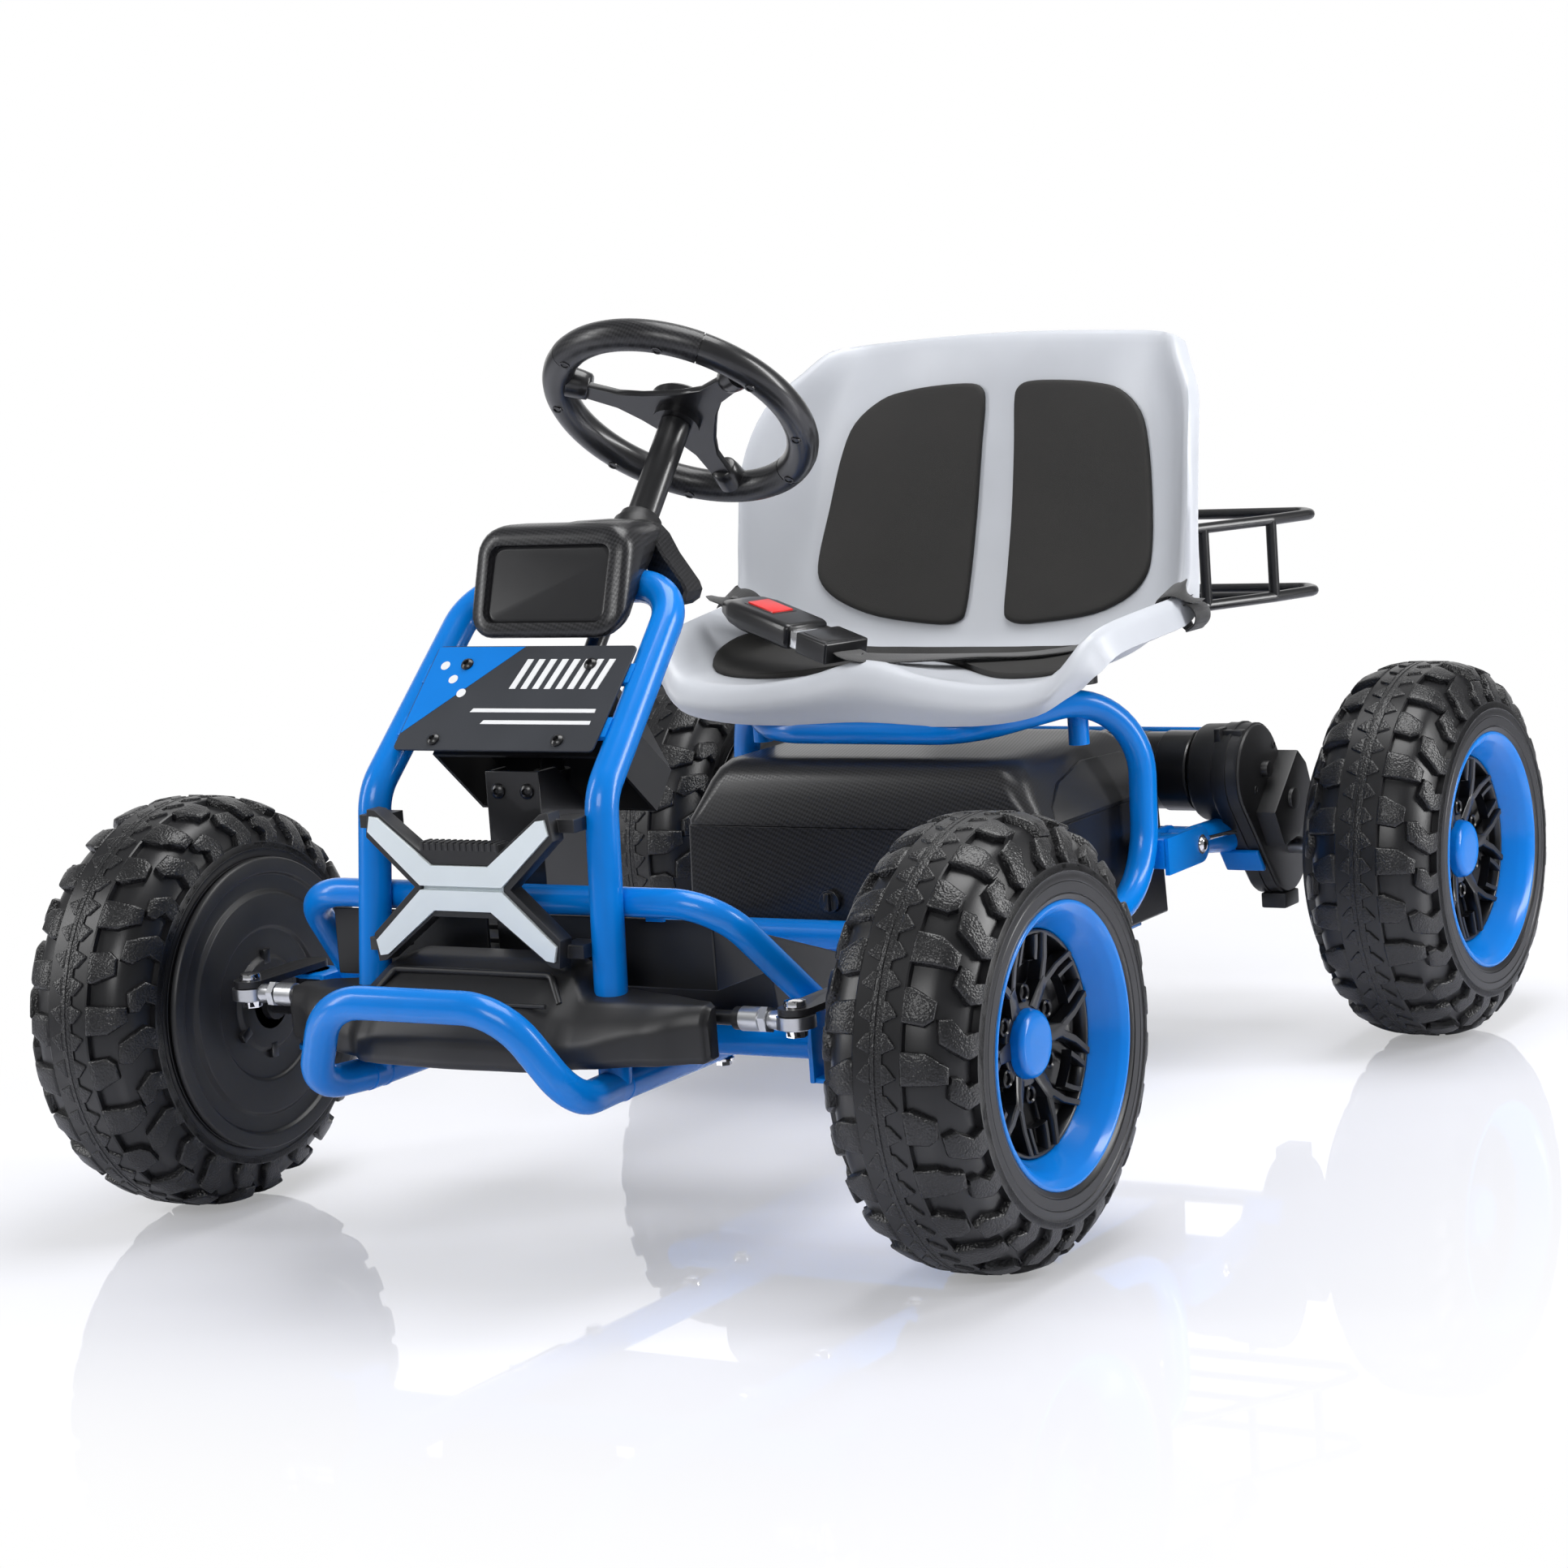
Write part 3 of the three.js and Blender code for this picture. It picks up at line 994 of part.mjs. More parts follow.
// Seat: half rows from the middle to the rim, front lip first, with [x, y, z] on the sitter's side
const seatRows = [
  [[0, 462, 322], [60, 460, 322], [125, 456, 324], [172, 456, 332], [195, 466, 345], [205, 478, 352]],
  [[0, 458, 350], [60, 455, 342], [125, 450, 337], [178, 449, 344], [203, 464, 364], [214, 478, 360]],
  [[0, 474, 375], [60, 468, 362], [125, 462, 355], [180, 464, 362], [205, 480, 388], [220, 486, 366]],
  [[0, 500, 372], [60, 492, 360], [125, 490, 356], [182, 494, 365], [212, 508, 401], [227, 510, 378]],
  [[0, 570, 362], [60, 570, 358], [125, 570, 358], [186, 574, 368], [219, 582, 408], [232, 586, 384]],
  [[0, 640, 358], [60, 640, 358], [125, 638, 360], [188, 630, 376], [221, 620, 411], [233, 628, 388]],
  [[0, 676, 364], [60, 676, 364], [125, 672, 368], [191, 658, 390], [222, 638, 422], [233, 650, 404]],
  [[0, 696, 396], [60, 696, 396], [125, 692, 400], [191, 674, 424], [223, 648, 470], [232, 658, 464]],
  [[0, 722, 470], [60, 722, 470], [125, 717, 472], [186, 700, 486], [221, 661, 530], [230, 671, 527]],
  [[0, 742, 550], [60, 742, 550], [125, 738, 550], [180, 722, 556], [211, 690, 580], [220, 700, 578]],
  [[0, 756, 610], [60, 757, 609], [113, 758, 606], [158, 748, 602], [188, 724, 612], [198, 734, 604]],
  [[0, 770, 637], [60, 770, 636], [108, 771, 634], [144, 768, 631], [170, 752, 628], [181, 762, 618]],
  [[0, 786, 628], [60, 788, 627], [108, 788, 624], [142, 785, 620], [166, 768, 616], [174, 776, 608]],
];
const seatColumns = seatRows[0].length - 1;

// A point of the seat's surface; across runs from minus to plus the column count, along by rows
function seatPoint(along, across) {
  const column = Math.min(Math.abs(across), seatColumns - 1e-6);
  const row = Math.min(along, seatRows.length - 1 - 1e-6);
  const [i, j] = [Math.floor(row), Math.floor(column)];
  const [s, t] = [row - i, column - j];
  const mix = (k) => (1 - s) * ((1 - t) * seatRows[i][j][k] + t * seatRows[i][j + 1][k])
    + s * ((1 - t) * seatRows[i + 1][j][k] + t * seatRows[i + 1][j + 1][k]);
  return vec(Math.sign(across) * mix(0), mix(1), mix(2));
}
function seatNormal(along, across) {
  const step = 0.35;
  const clampAlong = (value) => Math.min(Math.max(value, 0), seatRows.length - 1);
  const clampAcross = (value) => Math.min(Math.max(value, -seatColumns), seatColumns);
  const down = seatPoint(clampAlong(along + step), across).sub(seatPoint(clampAlong(along - step), across));
  const over = seatPoint(along, clampAcross(across + step)).sub(seatPoint(along, clampAcross(across - step)));
  return over.cross(down).normalize();
}

// A slab of the seat's surface between two offsets, sampled at the given rows and at each row's columns
function seatSlab(rows, columnsAt, low, high) {
  const columns = columnsAt(0);
  const layer = (offset) => rows.flatMap((along, i) => columnsAt(i).map((across) => seatPoint(along, across)
    .addScaledVector(seatNormal(along, across), offset)));
  const points = [...layer(high), ...layer(low)];
  const [height, width] = [rows.length, columns.length];
  const half = height * width;
  const index = [];
  const quad = (a, b, c, d) => index.push(a, b, c, a, c, d);
  for (let i = 0; i < height - 1; i++) {
    for (let j = 0; j < width - 1; j++) {
      const a = i * width + j;
      const [b, c, d] = [a + 1, a + width + 1, a + width];
      if (columns[j] < 0) {
        quad(b, c, d, a);
        quad(half + d, half + c, half + b, half + a);
      } else {
        quad(a, b, c, d);
        quad(half + a, half + d, half + c, half + b);
      }
    }
  }
  for (let j = 0; j < width - 1; j++) {
    const last = (height - 1) * width + j;
    quad(j + 1, j, half + j, half + j + 1);
    quad(last, last + 1, half + last + 1, half + last);
  }
  for (let i = 0; i < height - 1; i++) {
    const a = i * width;
    const b = a + width - 1;
    quad(a, a + width, half + a + width, half + a);
    quad(b + width, b, half + b, half + b + width);
  }
  const geometry = new THREE.BufferGeometry();
  geometry.setAttribute('position', new THREE.Float32BufferAttribute(points.flatMap((p) => [p.x, p.y, p.z]), 3));
  geometry.setIndex(index);
  return closed(geometry);
}
const range = (from, to) => [...Array(to - from + 1).keys()].map((i) => from + i);
// Foam pads: their thickness and lift, and the rows and columns of the seat that they reach
const seatPad = {
  thickness: 9, lift: -1.5, inner: 0.38, panFront: 3.15, panSplit: 4.4, panBack: 5.5, backLow: 6.65, backHigh: 9.65,
  panOuters: [2.6, 3.2, 3.3, 2.9, 2.3], backOuters: [2.2, 2.5, 2.6, 2.6, 2.3],
};
{
  const wholeSeat = (low, high) => seatSlab(range(0, seatRows.length - 1), () => range(-seatColumns, seatColumns), low, high);
  const shell = wholeSeat(-seat.shell, 0);
  const feet = seatFeet.flatMap(([x, y, low, high]) => [-1, 1].map((side) => cylinder(
    2 * arch.radius, vec(side * x, y, low), vec(side * x, y, high), 8,
  )));
  add('seat_shell', cut(join(shell, ...feet), archTube(gap)), 'shell');
  const shares = [0, 0.35, 0.7, 1];
  const pad = (rows, outers) => seatSlab(
    rows, (i) => shares.map((share) => seatPad.inner + share * (outers[i] - seatPad.inner)),
    seatPad.lift, seatPad.lift + seatPad.thickness,
  );
  const { inner, lift, panFront, panSplit, panBack, backLow, backHigh, panOuters, backOuters } = seatPad;
  const seatFace = wholeSeat(-2 * seat.shell, gap);
  const backPad = cut(pad([backLow, 7, 8, 9, backHigh], backOuters), seatFace);
  add('seat_back_pad_left', backPad, 'foam');
  add('seat_back_pad_right', mirrorX(backPad), 'foam');
  const side = pad([panFront, 3.5, 4, 5, panBack], panOuters);
  const middle = seatSlab([panSplit, 5, panBack], () => [-inner * 1.2, 0, inner * 1.2], lift, lift + seatPad.thickness);
  add('seat_pan_pad', cut(join(side, mirrorX(side), middle), seatFace), 'foam');
}

// A flat band along a path; its width lies as close to one direction as the path allows
function ribbon(points, width, thickness, widthWay) {
  const sections = points.map((point, i) => {
    const along = points[Math.min(i + 1, points.length - 1)].clone().sub(points[Math.max(i - 1, 0)]).normalize();
    const over = widthWay.clone().addScaledVector(along, -widthWay.dot(along)).normalize();
    const out = along.clone().cross(over);
    const corner = (a, b) => point.clone().addScaledVector(over, a * width / 2).addScaledVector(out, b * thickness / 2);
    return [corner(-1, -1), corner(1, -1), corner(1, 1), corner(-1, 1)];
  });
  return loft(sections);
}

// Buckle, in its own frame: +X runs from the socket to the tongue, +Z is up through the button
const buckle = {
  length: 88, width: 42, height: 20, buttonX: -46, buttonLength: 28, buttonWidth: 17, buttonDepth: 5, buttonProud: 1,
  bladeWidth: 26, bladeThickness: 2, bladeIn: 20, bladeOut: 12, slotSlack: 0.8, handle: 36, handleHeight: 16,
};
const buckleNear = vec(-80, 514, 394);
const buckleWay = vec(0.912, -0.34, -0.225).normalize();
const buckleFrame = new THREE.Group();
{
  const over = vec(0, 0, 1).cross(buckleWay).normalize();
  buckleFrame.position.copy(buckleNear);
  buckleFrame.quaternion.setFromRotationMatrix(new THREE.Matrix4().makeBasis(buckleWay, over, buckleWay.clone().cross(over)));
  kart.add(buckleFrame);
  const { length, width, height, buttonX, buttonLength, buttonWidth, buttonDepth, buttonProud } = buckle;
  const body = hull(
    block(gap, width, height).translate(-gap / 2, 0, 0),
    block(length * 0.8, width, height).translate(-length * 0.4, 0, 0),
    block(gap, width * 0.75, height * 0.5).translate(-length, 0, 0),
  );
  const pocket = block(buttonLength + 2 * gap, buttonWidth + 2 * gap, 2 * buttonDepth).translate(buttonX, 0, height / 2);
  const slot = block(2 * buckle.bladeIn + 2 * gap, buckle.bladeWidth + 2 * buckle.slotSlack, buckle.bladeThickness + 2 * buckle.slotSlack);
  add('buckle_socket', cut(body, pocket, slot.translate(0, 0, -height / 6)), 'black', buckleFrame);
  const travel = 3;
  const buttonHeight = buttonDepth + buttonProud - travel - gap;
  add('buckle_button', block(buttonLength, buttonWidth, buttonHeight)
    .translate(buttonX, 0, height / 2 + buttonProud - buttonHeight / 2), 'red', buckleFrame);
  const { bladeIn, bladeOut, bladeWidth, bladeThickness, handle, handleHeight } = buckle;
  const blade = block(bladeIn + bladeOut + handle / 2, bladeWidth, bladeThickness)
    .translate((bladeOut + handle / 2 - bladeIn) / 2, 0, -height / 6);
  add('buckle_tongue', join(blade, block(handle, width, handleHeight, 3).translate(bladeOut + handle / 2, 0, 0)), 'steel', buckleFrame);
}

// Belt straps: each wraps the rim of a seat wing and runs in over the seat to the buckle
const strap = { width: 30, thickness: 2, slack: 6, wingRow: 5.4, lift: 9, padLift: 15 };
function strapStart(side) {
  const at = (across, lift) => {
    const rim = seatPoint(strap.wingRow, side * across);
    return rim.addScaledVector(seatNormal(strap.wingRow, side * across), lift);
  };
  return [at(4.95, strap.lift), at(4.5, strap.lift), at(4.1, strap.lift * 1.3), at(3.8, strap.lift * 1.5), at(3.3, strap.lift * 1.8)];
}
{
  const overPad = (along, across, lift) => seatPoint(along, across).addScaledVector(seatNormal(along, across), lift);
  const handleEnd = buckleNear.clone().addScaledVector(buckleWay, buckle.bladeOut + buckle.handle - strap.slack);
  const socketEnd = buckleNear.clone().addScaledVector(buckleWay, strap.slack - buckle.length);
  buckleFrame.updateMatrixWorld(true);
  const grown = (length, middle) => block(length + 2 * gap, buckle.width + 2 * gap, buckle.height + 2 * gap)
    .translate(middle, 0, 0).applyMatrix4(buckleFrame.matrix);
  const handleSpace = grown(buckle.handle, buckle.bladeOut + buckle.handle / 2);
  const socketSpace = grown(buckle.length, -buckle.length / 2);
  const left = [
    ...strapStart(1), overPad(5.2, 2.9, strap.padLift), overPad(4.7, 2.3, strap.padLift), overPad(4.1, 1.7, strap.padLift),
    overPad(3.6, 1, strap.padLift), overPad(3.4, 0.4, strap.padLift), handleEnd,
  ];
  const right = [...strapStart(-1), socketEnd];
  add('belt_strap_left', cut(ribbon(left, strap.width, strap.thickness, vec(0, 1, 0)), handleSpace), 'webbing');
  add('belt_strap_right', cut(ribbon(right, strap.width, strap.thickness, vec(0, 1, 0)), socketSpace), 'webbing');
}

// Cargo rack: two open rings bolted to the seat's back, joined by posts, with slats across the lower one
const rack = {
  radius: 5, highZ: 448, lowZ: 377, startX: 96, startY: 752, frontX: 147, frontY: 846, postX: 184, postY: 913, cornerX: 203, cornerY: 962,
  rearY: 984, rearX: 185, slatYs: [800, 860, 920], bend: 14, footRadius: 9, footDepth: 4,
};
{
  const count = 6;
  const half = (z) => [
    vec(rack.frontX, rack.frontY, z), vec(rack.postX, rack.postY, z), vec(rack.cornerX, rack.cornerY, z), vec(rack.rearX, rack.rearY, z),
  ];
  const footY = (z) => seatBackY(rack.startX, z) + seat.shell + rack.footDepth;
  const rings = [rack.highZ, rack.lowZ].map((z) => {
    const side = [vec(rack.startX, footY(z) - rack.footDepth / 2, z), vec(rack.startX, rack.startY, z), ...half(z)];
    return tube([...side, ...mirrored(side)], rack.radius, rack.bend, count);
  });
  const posts = [-1, 1].flatMap((side) => [[rack.frontX, rack.frontY], [rack.postX, rack.postY]].map(([x, y]) => (
    tube([vec(side * x, y, rack.lowZ), vec(side * x, y, rack.highZ)], rack.radius, 0, count))));
  const slats = rack.slatYs.map((y) => {
    const edge = [[rack.startX, rack.startY], [rack.frontX, rack.frontY], [rack.postX, rack.postY], [rack.cornerX, rack.cornerY]];
    const i = edge.findIndex(([, edgeY], k) => k < edge.length - 1 && y <= edge[k + 1][1]);
    const share = (y - edge[i][1]) / (edge[i + 1][1] - edge[i][1]);
    const x = edge[i][0] + share * (edge[i + 1][0] - edge[i][0]);
    return tube([vec(-x, y, rack.lowZ), vec(x, y, rack.lowZ)], rack.radius * 0.8, 0, count);
  });
  const feet = [rack.highZ, rack.lowZ].flatMap((z) => [-1, 1].map((side) => cylinder(
    rack.footRadius, vec(side * rack.startX, footY(z) - 2 * rack.footDepth, z), vec(side * rack.startX, footY(z), z), 8,
  )));
  const back = seatSlab(range(5, 11), () => range(-3, 3), -seat.shell - gap, 4 * seat.shell);
  add('cargo_rack', cut(join(...rings, ...posts, ...slats, ...feet), back), 'darkSteel');
}

// The seat back's y position at a height, read along the rows of the back
function seatBackY(x, z) {
  const rows = seatRows.slice(6, 11);
  const i = rows.findIndex((row, k) => k < rows.length - 1 && rows[k + 1][1][2] >= z);
  const share = (z - rows[i][1][2]) / (rows[i + 1][1][2] - rows[i][1][2]);
  return rows[i][1][1] + share * (rows[i + 1][1][1] - rows[i][1][1]);
}

// Gear motors: each gearbox is a case round the motor's axis and the wheel's axis
const gearSides = 16;
function gearCase(grow, fromX, toX) {
  return hull(
    crossBar(gearbox.upperRadius + grow, fromX, toX, motor.y, motor.z, gearSides),
    crossBar(gearbox.lowerRadius + grow, fromX, toX, wheelbase, spindleZ, gearSides),
  );
}
const axleBore = boreRadius(axle.radius, stubSides);
{
  const one = join(
    gearCase(0, gearbox.innerX, gearbox.faceX),
    hull(
      gearCase(-gearbox.wall, gearbox.faceX - gap, gearbox.faceX),
      crossBar(gearbox.upperRadius / 2, gearbox.coverX - gearbox.wall, gearbox.coverX, motor.y, motor.z, gearSides),
      crossBar(gearbox.lowerRadius * 0.7, gearbox.coverX - gearbox.wall, gearbox.coverX, wheelbase, spindleZ, gearSides),
    ),
    crossBar(gearbox.boss, gearbox.coverX - gap, rearHalfTrack + disc.coverX - axle.nut, wheelbase, spindleZ, stubSides),
  );
  const bored = cut(one, crossBar(axleBore, 0, 2 * rearHalfTrack, wheelbase, spindleZ, stubSides));
  add('gearbox_left', bored, 'black');
  add('gearbox_right', mirrorX(bored), 'black');
  const body = join(
    crossBar(motor.radius, motor.innerX, gearbox.innerX - gap, motor.y, motor.z, gearSides),
    crossBar(motor.radius + 1.5, motor.innerX, motor.innerX + motor.cap, motor.y, motor.z, gearSides),
    crossBar(motor.radius + 1.5, gearbox.innerX - 2 * motor.cap, gearbox.innerX - gap, motor.y, motor.z, gearSides),
  );
  add('motor_left', body, 'black');
  add('motor_right', mirrorX(body), 'black');
}

// Rear axle: a fixed bar through both gearboxes, with a nut outside each wheel
{
  const end = rearHalfTrack + disc.hubX + gap;
  const nuts = [-1, 1].map((side) => crossBar(axle.nutRadius, side * end, side * (end + axle.nut), wheelbase, spindleZ, 6));
  add('rear_axle', join(crossBar(axle.radius, -end - axle.nut, end + axle.nut, wheelbase, spindleZ, stubSides), ...nuts), 'steel');
}

// Swing arm: an eye between each pair of ears, a saddle under each gearbox, and two cross bars
const swing = {
  barRadius: 12, barY: 702, barZ: 186, halfWidth: 9, armRadius: 13, saddleY: 742, saddleZ: 172, saddleRadius: 7,
  rodRadius: 5, rodY: 768, rodZ: 272, legX: 72,
};
{
  const eyeHalf = pivot.halfGap - gap;
  const saddleX = [gearbox.innerX + gearbox.wall, gearbox.faceX - gearbox.wall];
  const half = join(
    crossBar(pivot.eye - 2, pivot.x - eyeHalf, pivot.x + eyeHalf, pivot.y, pivot.z, 12),
    hull(
      crossBar(swing.armRadius, pivot.x - swing.halfWidth, pivot.x + swing.halfWidth, pivot.y, pivot.z, 12),
      crossBar(swing.armRadius, pivot.x - swing.halfWidth, pivot.x + swing.halfWidth, swing.saddleY, swing.saddleZ, 12),
    ),
    hull(
      crossBar(swing.saddleRadius, ...saddleX, swing.saddleY - 30, swing.saddleZ + 30, 8),
      crossBar(swing.saddleRadius, ...saddleX, swing.saddleY + 28, swing.saddleZ - 34, 8),
    ),
  );
  const bore = crossBar(boreRadius(pivot.bolt, 12), 0, 2 * pivot.x, pivot.y, pivot.z, 12);
  const arm = cut(half, bore, gearCase(gap, gearbox.innerX - gearbox.wall, gearbox.coverX));
  const bar = crossBar(swing.barRadius, -pivot.x, pivot.x, swing.barY, swing.barZ);
  const rod = crossBar(swing.rodRadius, gap - gearbox.innerX, gearbox.innerX - gap, swing.rodY, swing.rodZ);
  const legs = [-1, 1].map((side) => cylinder(
    swing.rodRadius, vec(side * swing.legX, swing.barY, swing.barZ), vec(side * swing.legX, swing.rodY, swing.rodZ),
  ));
  add('swing_arm', join(arm, mirrorX(arm), bar, rod, ...legs), 'blue');
}

// The kart's middle goes to y = 0, from the front of the bumper to the back of the rack
kart.position.y = -(bumper.highY - tubeRadius + rack.rearY + rack.radius) / 2;

export default kart;
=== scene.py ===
# Off road go kart: the visual model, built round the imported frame.
# The kart's lengths are in millimetres, and its places have y counted from the front axle, as in the part's
# source. They are turned into metres by MM. The materials and the stage are in metres.
import math
from math import cos, pi, radians, sin, tau

import bmesh
import bpy
from mathutils import Matrix, Vector


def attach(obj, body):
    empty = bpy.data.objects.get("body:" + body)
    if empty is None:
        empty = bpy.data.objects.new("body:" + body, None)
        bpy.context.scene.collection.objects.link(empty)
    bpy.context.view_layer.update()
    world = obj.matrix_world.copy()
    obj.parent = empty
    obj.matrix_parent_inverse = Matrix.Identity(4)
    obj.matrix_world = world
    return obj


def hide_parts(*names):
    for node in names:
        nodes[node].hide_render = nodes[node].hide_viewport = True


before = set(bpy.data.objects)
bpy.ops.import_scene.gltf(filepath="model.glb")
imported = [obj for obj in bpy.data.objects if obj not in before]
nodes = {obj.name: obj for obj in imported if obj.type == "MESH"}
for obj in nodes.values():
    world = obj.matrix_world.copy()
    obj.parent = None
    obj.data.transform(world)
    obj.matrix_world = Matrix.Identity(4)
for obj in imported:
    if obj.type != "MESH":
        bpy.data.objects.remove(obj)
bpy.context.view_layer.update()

MM = 0.001
AXLE_Y = -389.25
AXES = (Vector((1, 0, 0)), Vector((0, 1, 0)), Vector((0, 0, 1)))
SIDES = ((1, "left"), (-1, "right"))


def place(x, y, z):
    """A point of the kart in metres, from millimetres counted from the front axle."""
    return Vector((x, y + AXLE_Y, z)) * MM


# Materials

def feed(tree, target, inputs):
    """Fills a node's inputs: an output is linked, and any other value is written in."""
    for name, value in inputs.items():
        if isinstance(value, bpy.types.NodeSocket):
            tree.links.new(value, target.inputs[name])
        else:
            target.inputs[name].default_value = value


def add_node(tree, kind, inputs=None, **settings):
    made = tree.nodes.new("ShaderNode" + kind)
    for name, value in settings.items():
        setattr(made, name, value)
    feed(tree, made, inputs or {})
    return made


def maths(tree, operation, *values):
    return add_node(tree, "Math", dict(enumerate(values)), operation=operation).outputs["Value"]


def dot(tree, vector, way):
    return add_node(tree, "VectorMath", {0: vector, 1: way}, operation="DOT_PRODUCT").outputs["Value"]


def new_material(name):
    mat = bpy.data.materials.new(name)
    mat.use_nodes = True
    return mat, mat.node_tree, mat.node_tree.nodes["Principled BSDF"]


def object_coords(tree):
    return add_node(tree, "TexCoord").outputs["Object"]


def noise(tree, scale, detail=3.0):
    inputs = {"Vector": object_coords(tree), "Scale": scale, "Detail": detail}
    return add_node(tree, "TexNoise", inputs).outputs["Fac"]


def blend(tree, value, low, high, dark, light):
    """Turns a value between low and high into a blend of two colours."""
    share = add_node(
        tree, "MapRange", {"Value": value, "From Min": low, "From Max": high},
    ).outputs["Result"]
    colours = {"A": (*dark, 1), "B": (*light, 1), "Factor": share}
    return add_node(tree, "Mix", colours, data_type="RGBA").outputs["Result"]


def spread(tree, value, low, high):
    return add_node(tree, "MapRange", {"Value": value, "To Min": low, "To Max": high}).outputs["Result"]


def add_bump(tree, shader, height, strength, distance):
    bump = add_node(tree, "Bump", {"Height": height, "Strength": strength, "Distance": distance})
    feed(tree, shader, {"Normal": bump.outputs["Normal"]})


CLOUD_LOW, CLOUD_HIGH = 0.3, 0.7
CARBON_TILE = 0.0024
RIB_SCALE = 180.0


def surface(
    name, colour, rough, metal=0.0, coat=0.0, tint=0.12, grain=260.0, grain_depth=0.00012, strength=0.25,
    ior=1.5,
):
    """A moulded, painted or metal surface: slightly uneven colour and gloss, with a fine grain."""
    mat, tree, shader = new_material(name)
    cloud = noise(tree, 14.0)
    dark = tuple(c * (1 - tint) for c in colour)
    light = tuple(min(1.0, c * (1 + tint)) for c in colour)
    feed(tree, shader, {
        "Metallic": metal, "IOR": ior, "Roughness": spread(tree, cloud, rough * 0.85, rough * 1.15),
        "Base Color": blend(tree, cloud, CLOUD_LOW, CLOUD_HIGH, dark, light),
    })
    if coat:
        feed(tree, shader, {"Coat Weight": coat, "Coat Roughness": 0.06})
    add_bump(tree, shader, noise(tree, grain, 2.0), strength, grain_depth)
    return mat


def pebble(name, colour, rough, cell, depth):
    """Rubber with a leather-like pebble grain."""
    mat, tree, shader = new_material(name)
    inputs = {"Vector": object_coords(tree), "Scale": 1.0 / cell}
    cells = add_node(tree, "TexVoronoi", inputs, feature="SMOOTH_F1").outputs["Distance"]
    dark = tuple(c * 0.8 for c in colour)
    colours = blend(tree, noise(tree, 22.0), CLOUD_LOW, CLOUD_HIGH, dark, colour)
    feed(tree, shader, {"Base Color": colours, "Roughness": rough})
    add_bump(tree, shader, maths(tree, "SUBTRACT", 1.0, cells), 0.8, depth)
    return mat


def carbon(name):
    """Carbon-look film: small slanted tiles of two tones and glosses, laid out in two directions only."""
    mat, tree, shader = new_material(name)
    coords = object_coords(tree)
    flat = add_node(tree, "CombineXYZ", {
        "X": dot(tree, coords, (0.9, 1.0, 0.0)), "Y": dot(tree, coords, (-0.5, 0.5, 1.0)),
    })
    inputs = {"Vector": flat.outputs["Vector"], "Scale": 1.0 / CARBON_TILE}
    tiles = add_node(tree, "TexChecker", inputs).outputs["Fac"]
    feed(tree, shader, {
        "Base Color": blend(tree, tiles, 0, 1, (0.008, 0.008, 0.009), (0.017, 0.017, 0.019)),
        "Roughness": spread(tree, tiles, 0.28, 0.38),
    })
    return mat


def weave(name, colour):
    """Woven webbing: fine ribs in two directions, with painted shade in the hollows between the ribs."""
    mat, tree, shader = new_material(name)
    heights = []
    for axis in ("X", "Y"):
        inputs = {"Vector": object_coords(tree), "Scale": RIB_SCALE}
        heights.append(add_node(tree, "TexWave", inputs, bands_direction=axis).outputs["Fac"])
    both = maths(tree, "MULTIPLY", *heights)
    # Painted shade: the colour turns darker where the ribs' height is low, in the hollows of the weave.
    dark = tuple(c * 0.6 for c in colour)
    colours = blend(tree, both, 0, 1, dark, colour)
    feed(tree, shader, {"Base Color": colours, "Roughness": 0.8, "Sheen Weight": 0.3})
    add_bump(tree, shader, both, 0.6, 0.0004)
    return mat


BLUE = surface(
    "blue_paint", (0.0, 0.19, 0.66), 0.26, coat=0.22, tint=0.05, grain=120, grain_depth=0.0001,
    strength=0.08, ior=1.34,
)
BLACK = surface(
    "black_plastic", (0.012, 0.012, 0.013), 0.42, tint=0.2, grain=1600, grain_depth=0.00008, strength=0.35,
)
GLOSS_BLACK = surface("gloss_black", (0.006, 0.006, 0.007), 0.3, coat=0.15, tint=0.2, strength=0.05)
BLACK_PAINT = surface(
    "black_paint", (0.010, 0.010, 0.011), 0.3, coat=0.25, tint=0.2, grain=700, strength=0.15,
)
SEAT = surface(
    "seat_plastic", (0.52, 0.54, 0.58), 0.34, tint=0.03, grain=1400, grain_depth=0.00006, strength=0.3,
)
RUBBER = surface(
    "tyre_rubber", (0.007, 0.007, 0.008), 0.34, tint=0.2, grain=900, grain_depth=0.0001, strength=0.15,
)
PEBBLE = pebble("tyre_pebble", (0.008, 0.008, 0.009), 0.34, 0.0015, 0.0006)
CARBON = carbon("carbon_look")
STEEL = surface("zinc_steel", (0.62, 0.63, 0.65), 0.28, metal=1.0, tint=0.08, grain=500, strength=0.2)
DARK_STEEL = surface(
    "dark_steel", (0.016, 0.016, 0.018), 0.36, metal=0.2, tint=0.2, grain=600, strength=0.2,
)
CHROME = surface("chrome", (0.78, 0.78, 0.79), 0.1, metal=1.0, tint=0.04, strength=0.04)
LENS = surface("milky_lens", (0.70, 0.76, 0.78), 0.24, coat=0.4, tint=0.03, strength=0.04)
FOAM = surface(
    "foam_rubber", (0.016, 0.015, 0.014), 0.72, tint=0.3, grain=2400, grain_depth=0.0003, strength=0.7,
)
WEBBING = weave("webbing", (0.016, 0.016, 0.017))
RED = surface("red_plastic", (0.75, 0.012, 0.01), 0.3, coat=0.3, tint=0.05, strength=0.1)
PLATE = surface("plate_face", (0.030, 0.033, 0.040), 0.4, tint=0.1, grain=900, strength=0.1)
WHITE = surface("white_print", (0.78, 0.79, 0.80), 0.4, tint=0.03, strength=0.05)
SCREEN = surface("screen", (0.010, 0.010, 0.011), 0.28, tint=0.2, grain=1200, strength=0.15)
ALLOY = surface("cast_alloy", (0.45, 0.46, 0.47), 0.42, metal=0.9, tint=0.1, grain=500, strength=0.4)
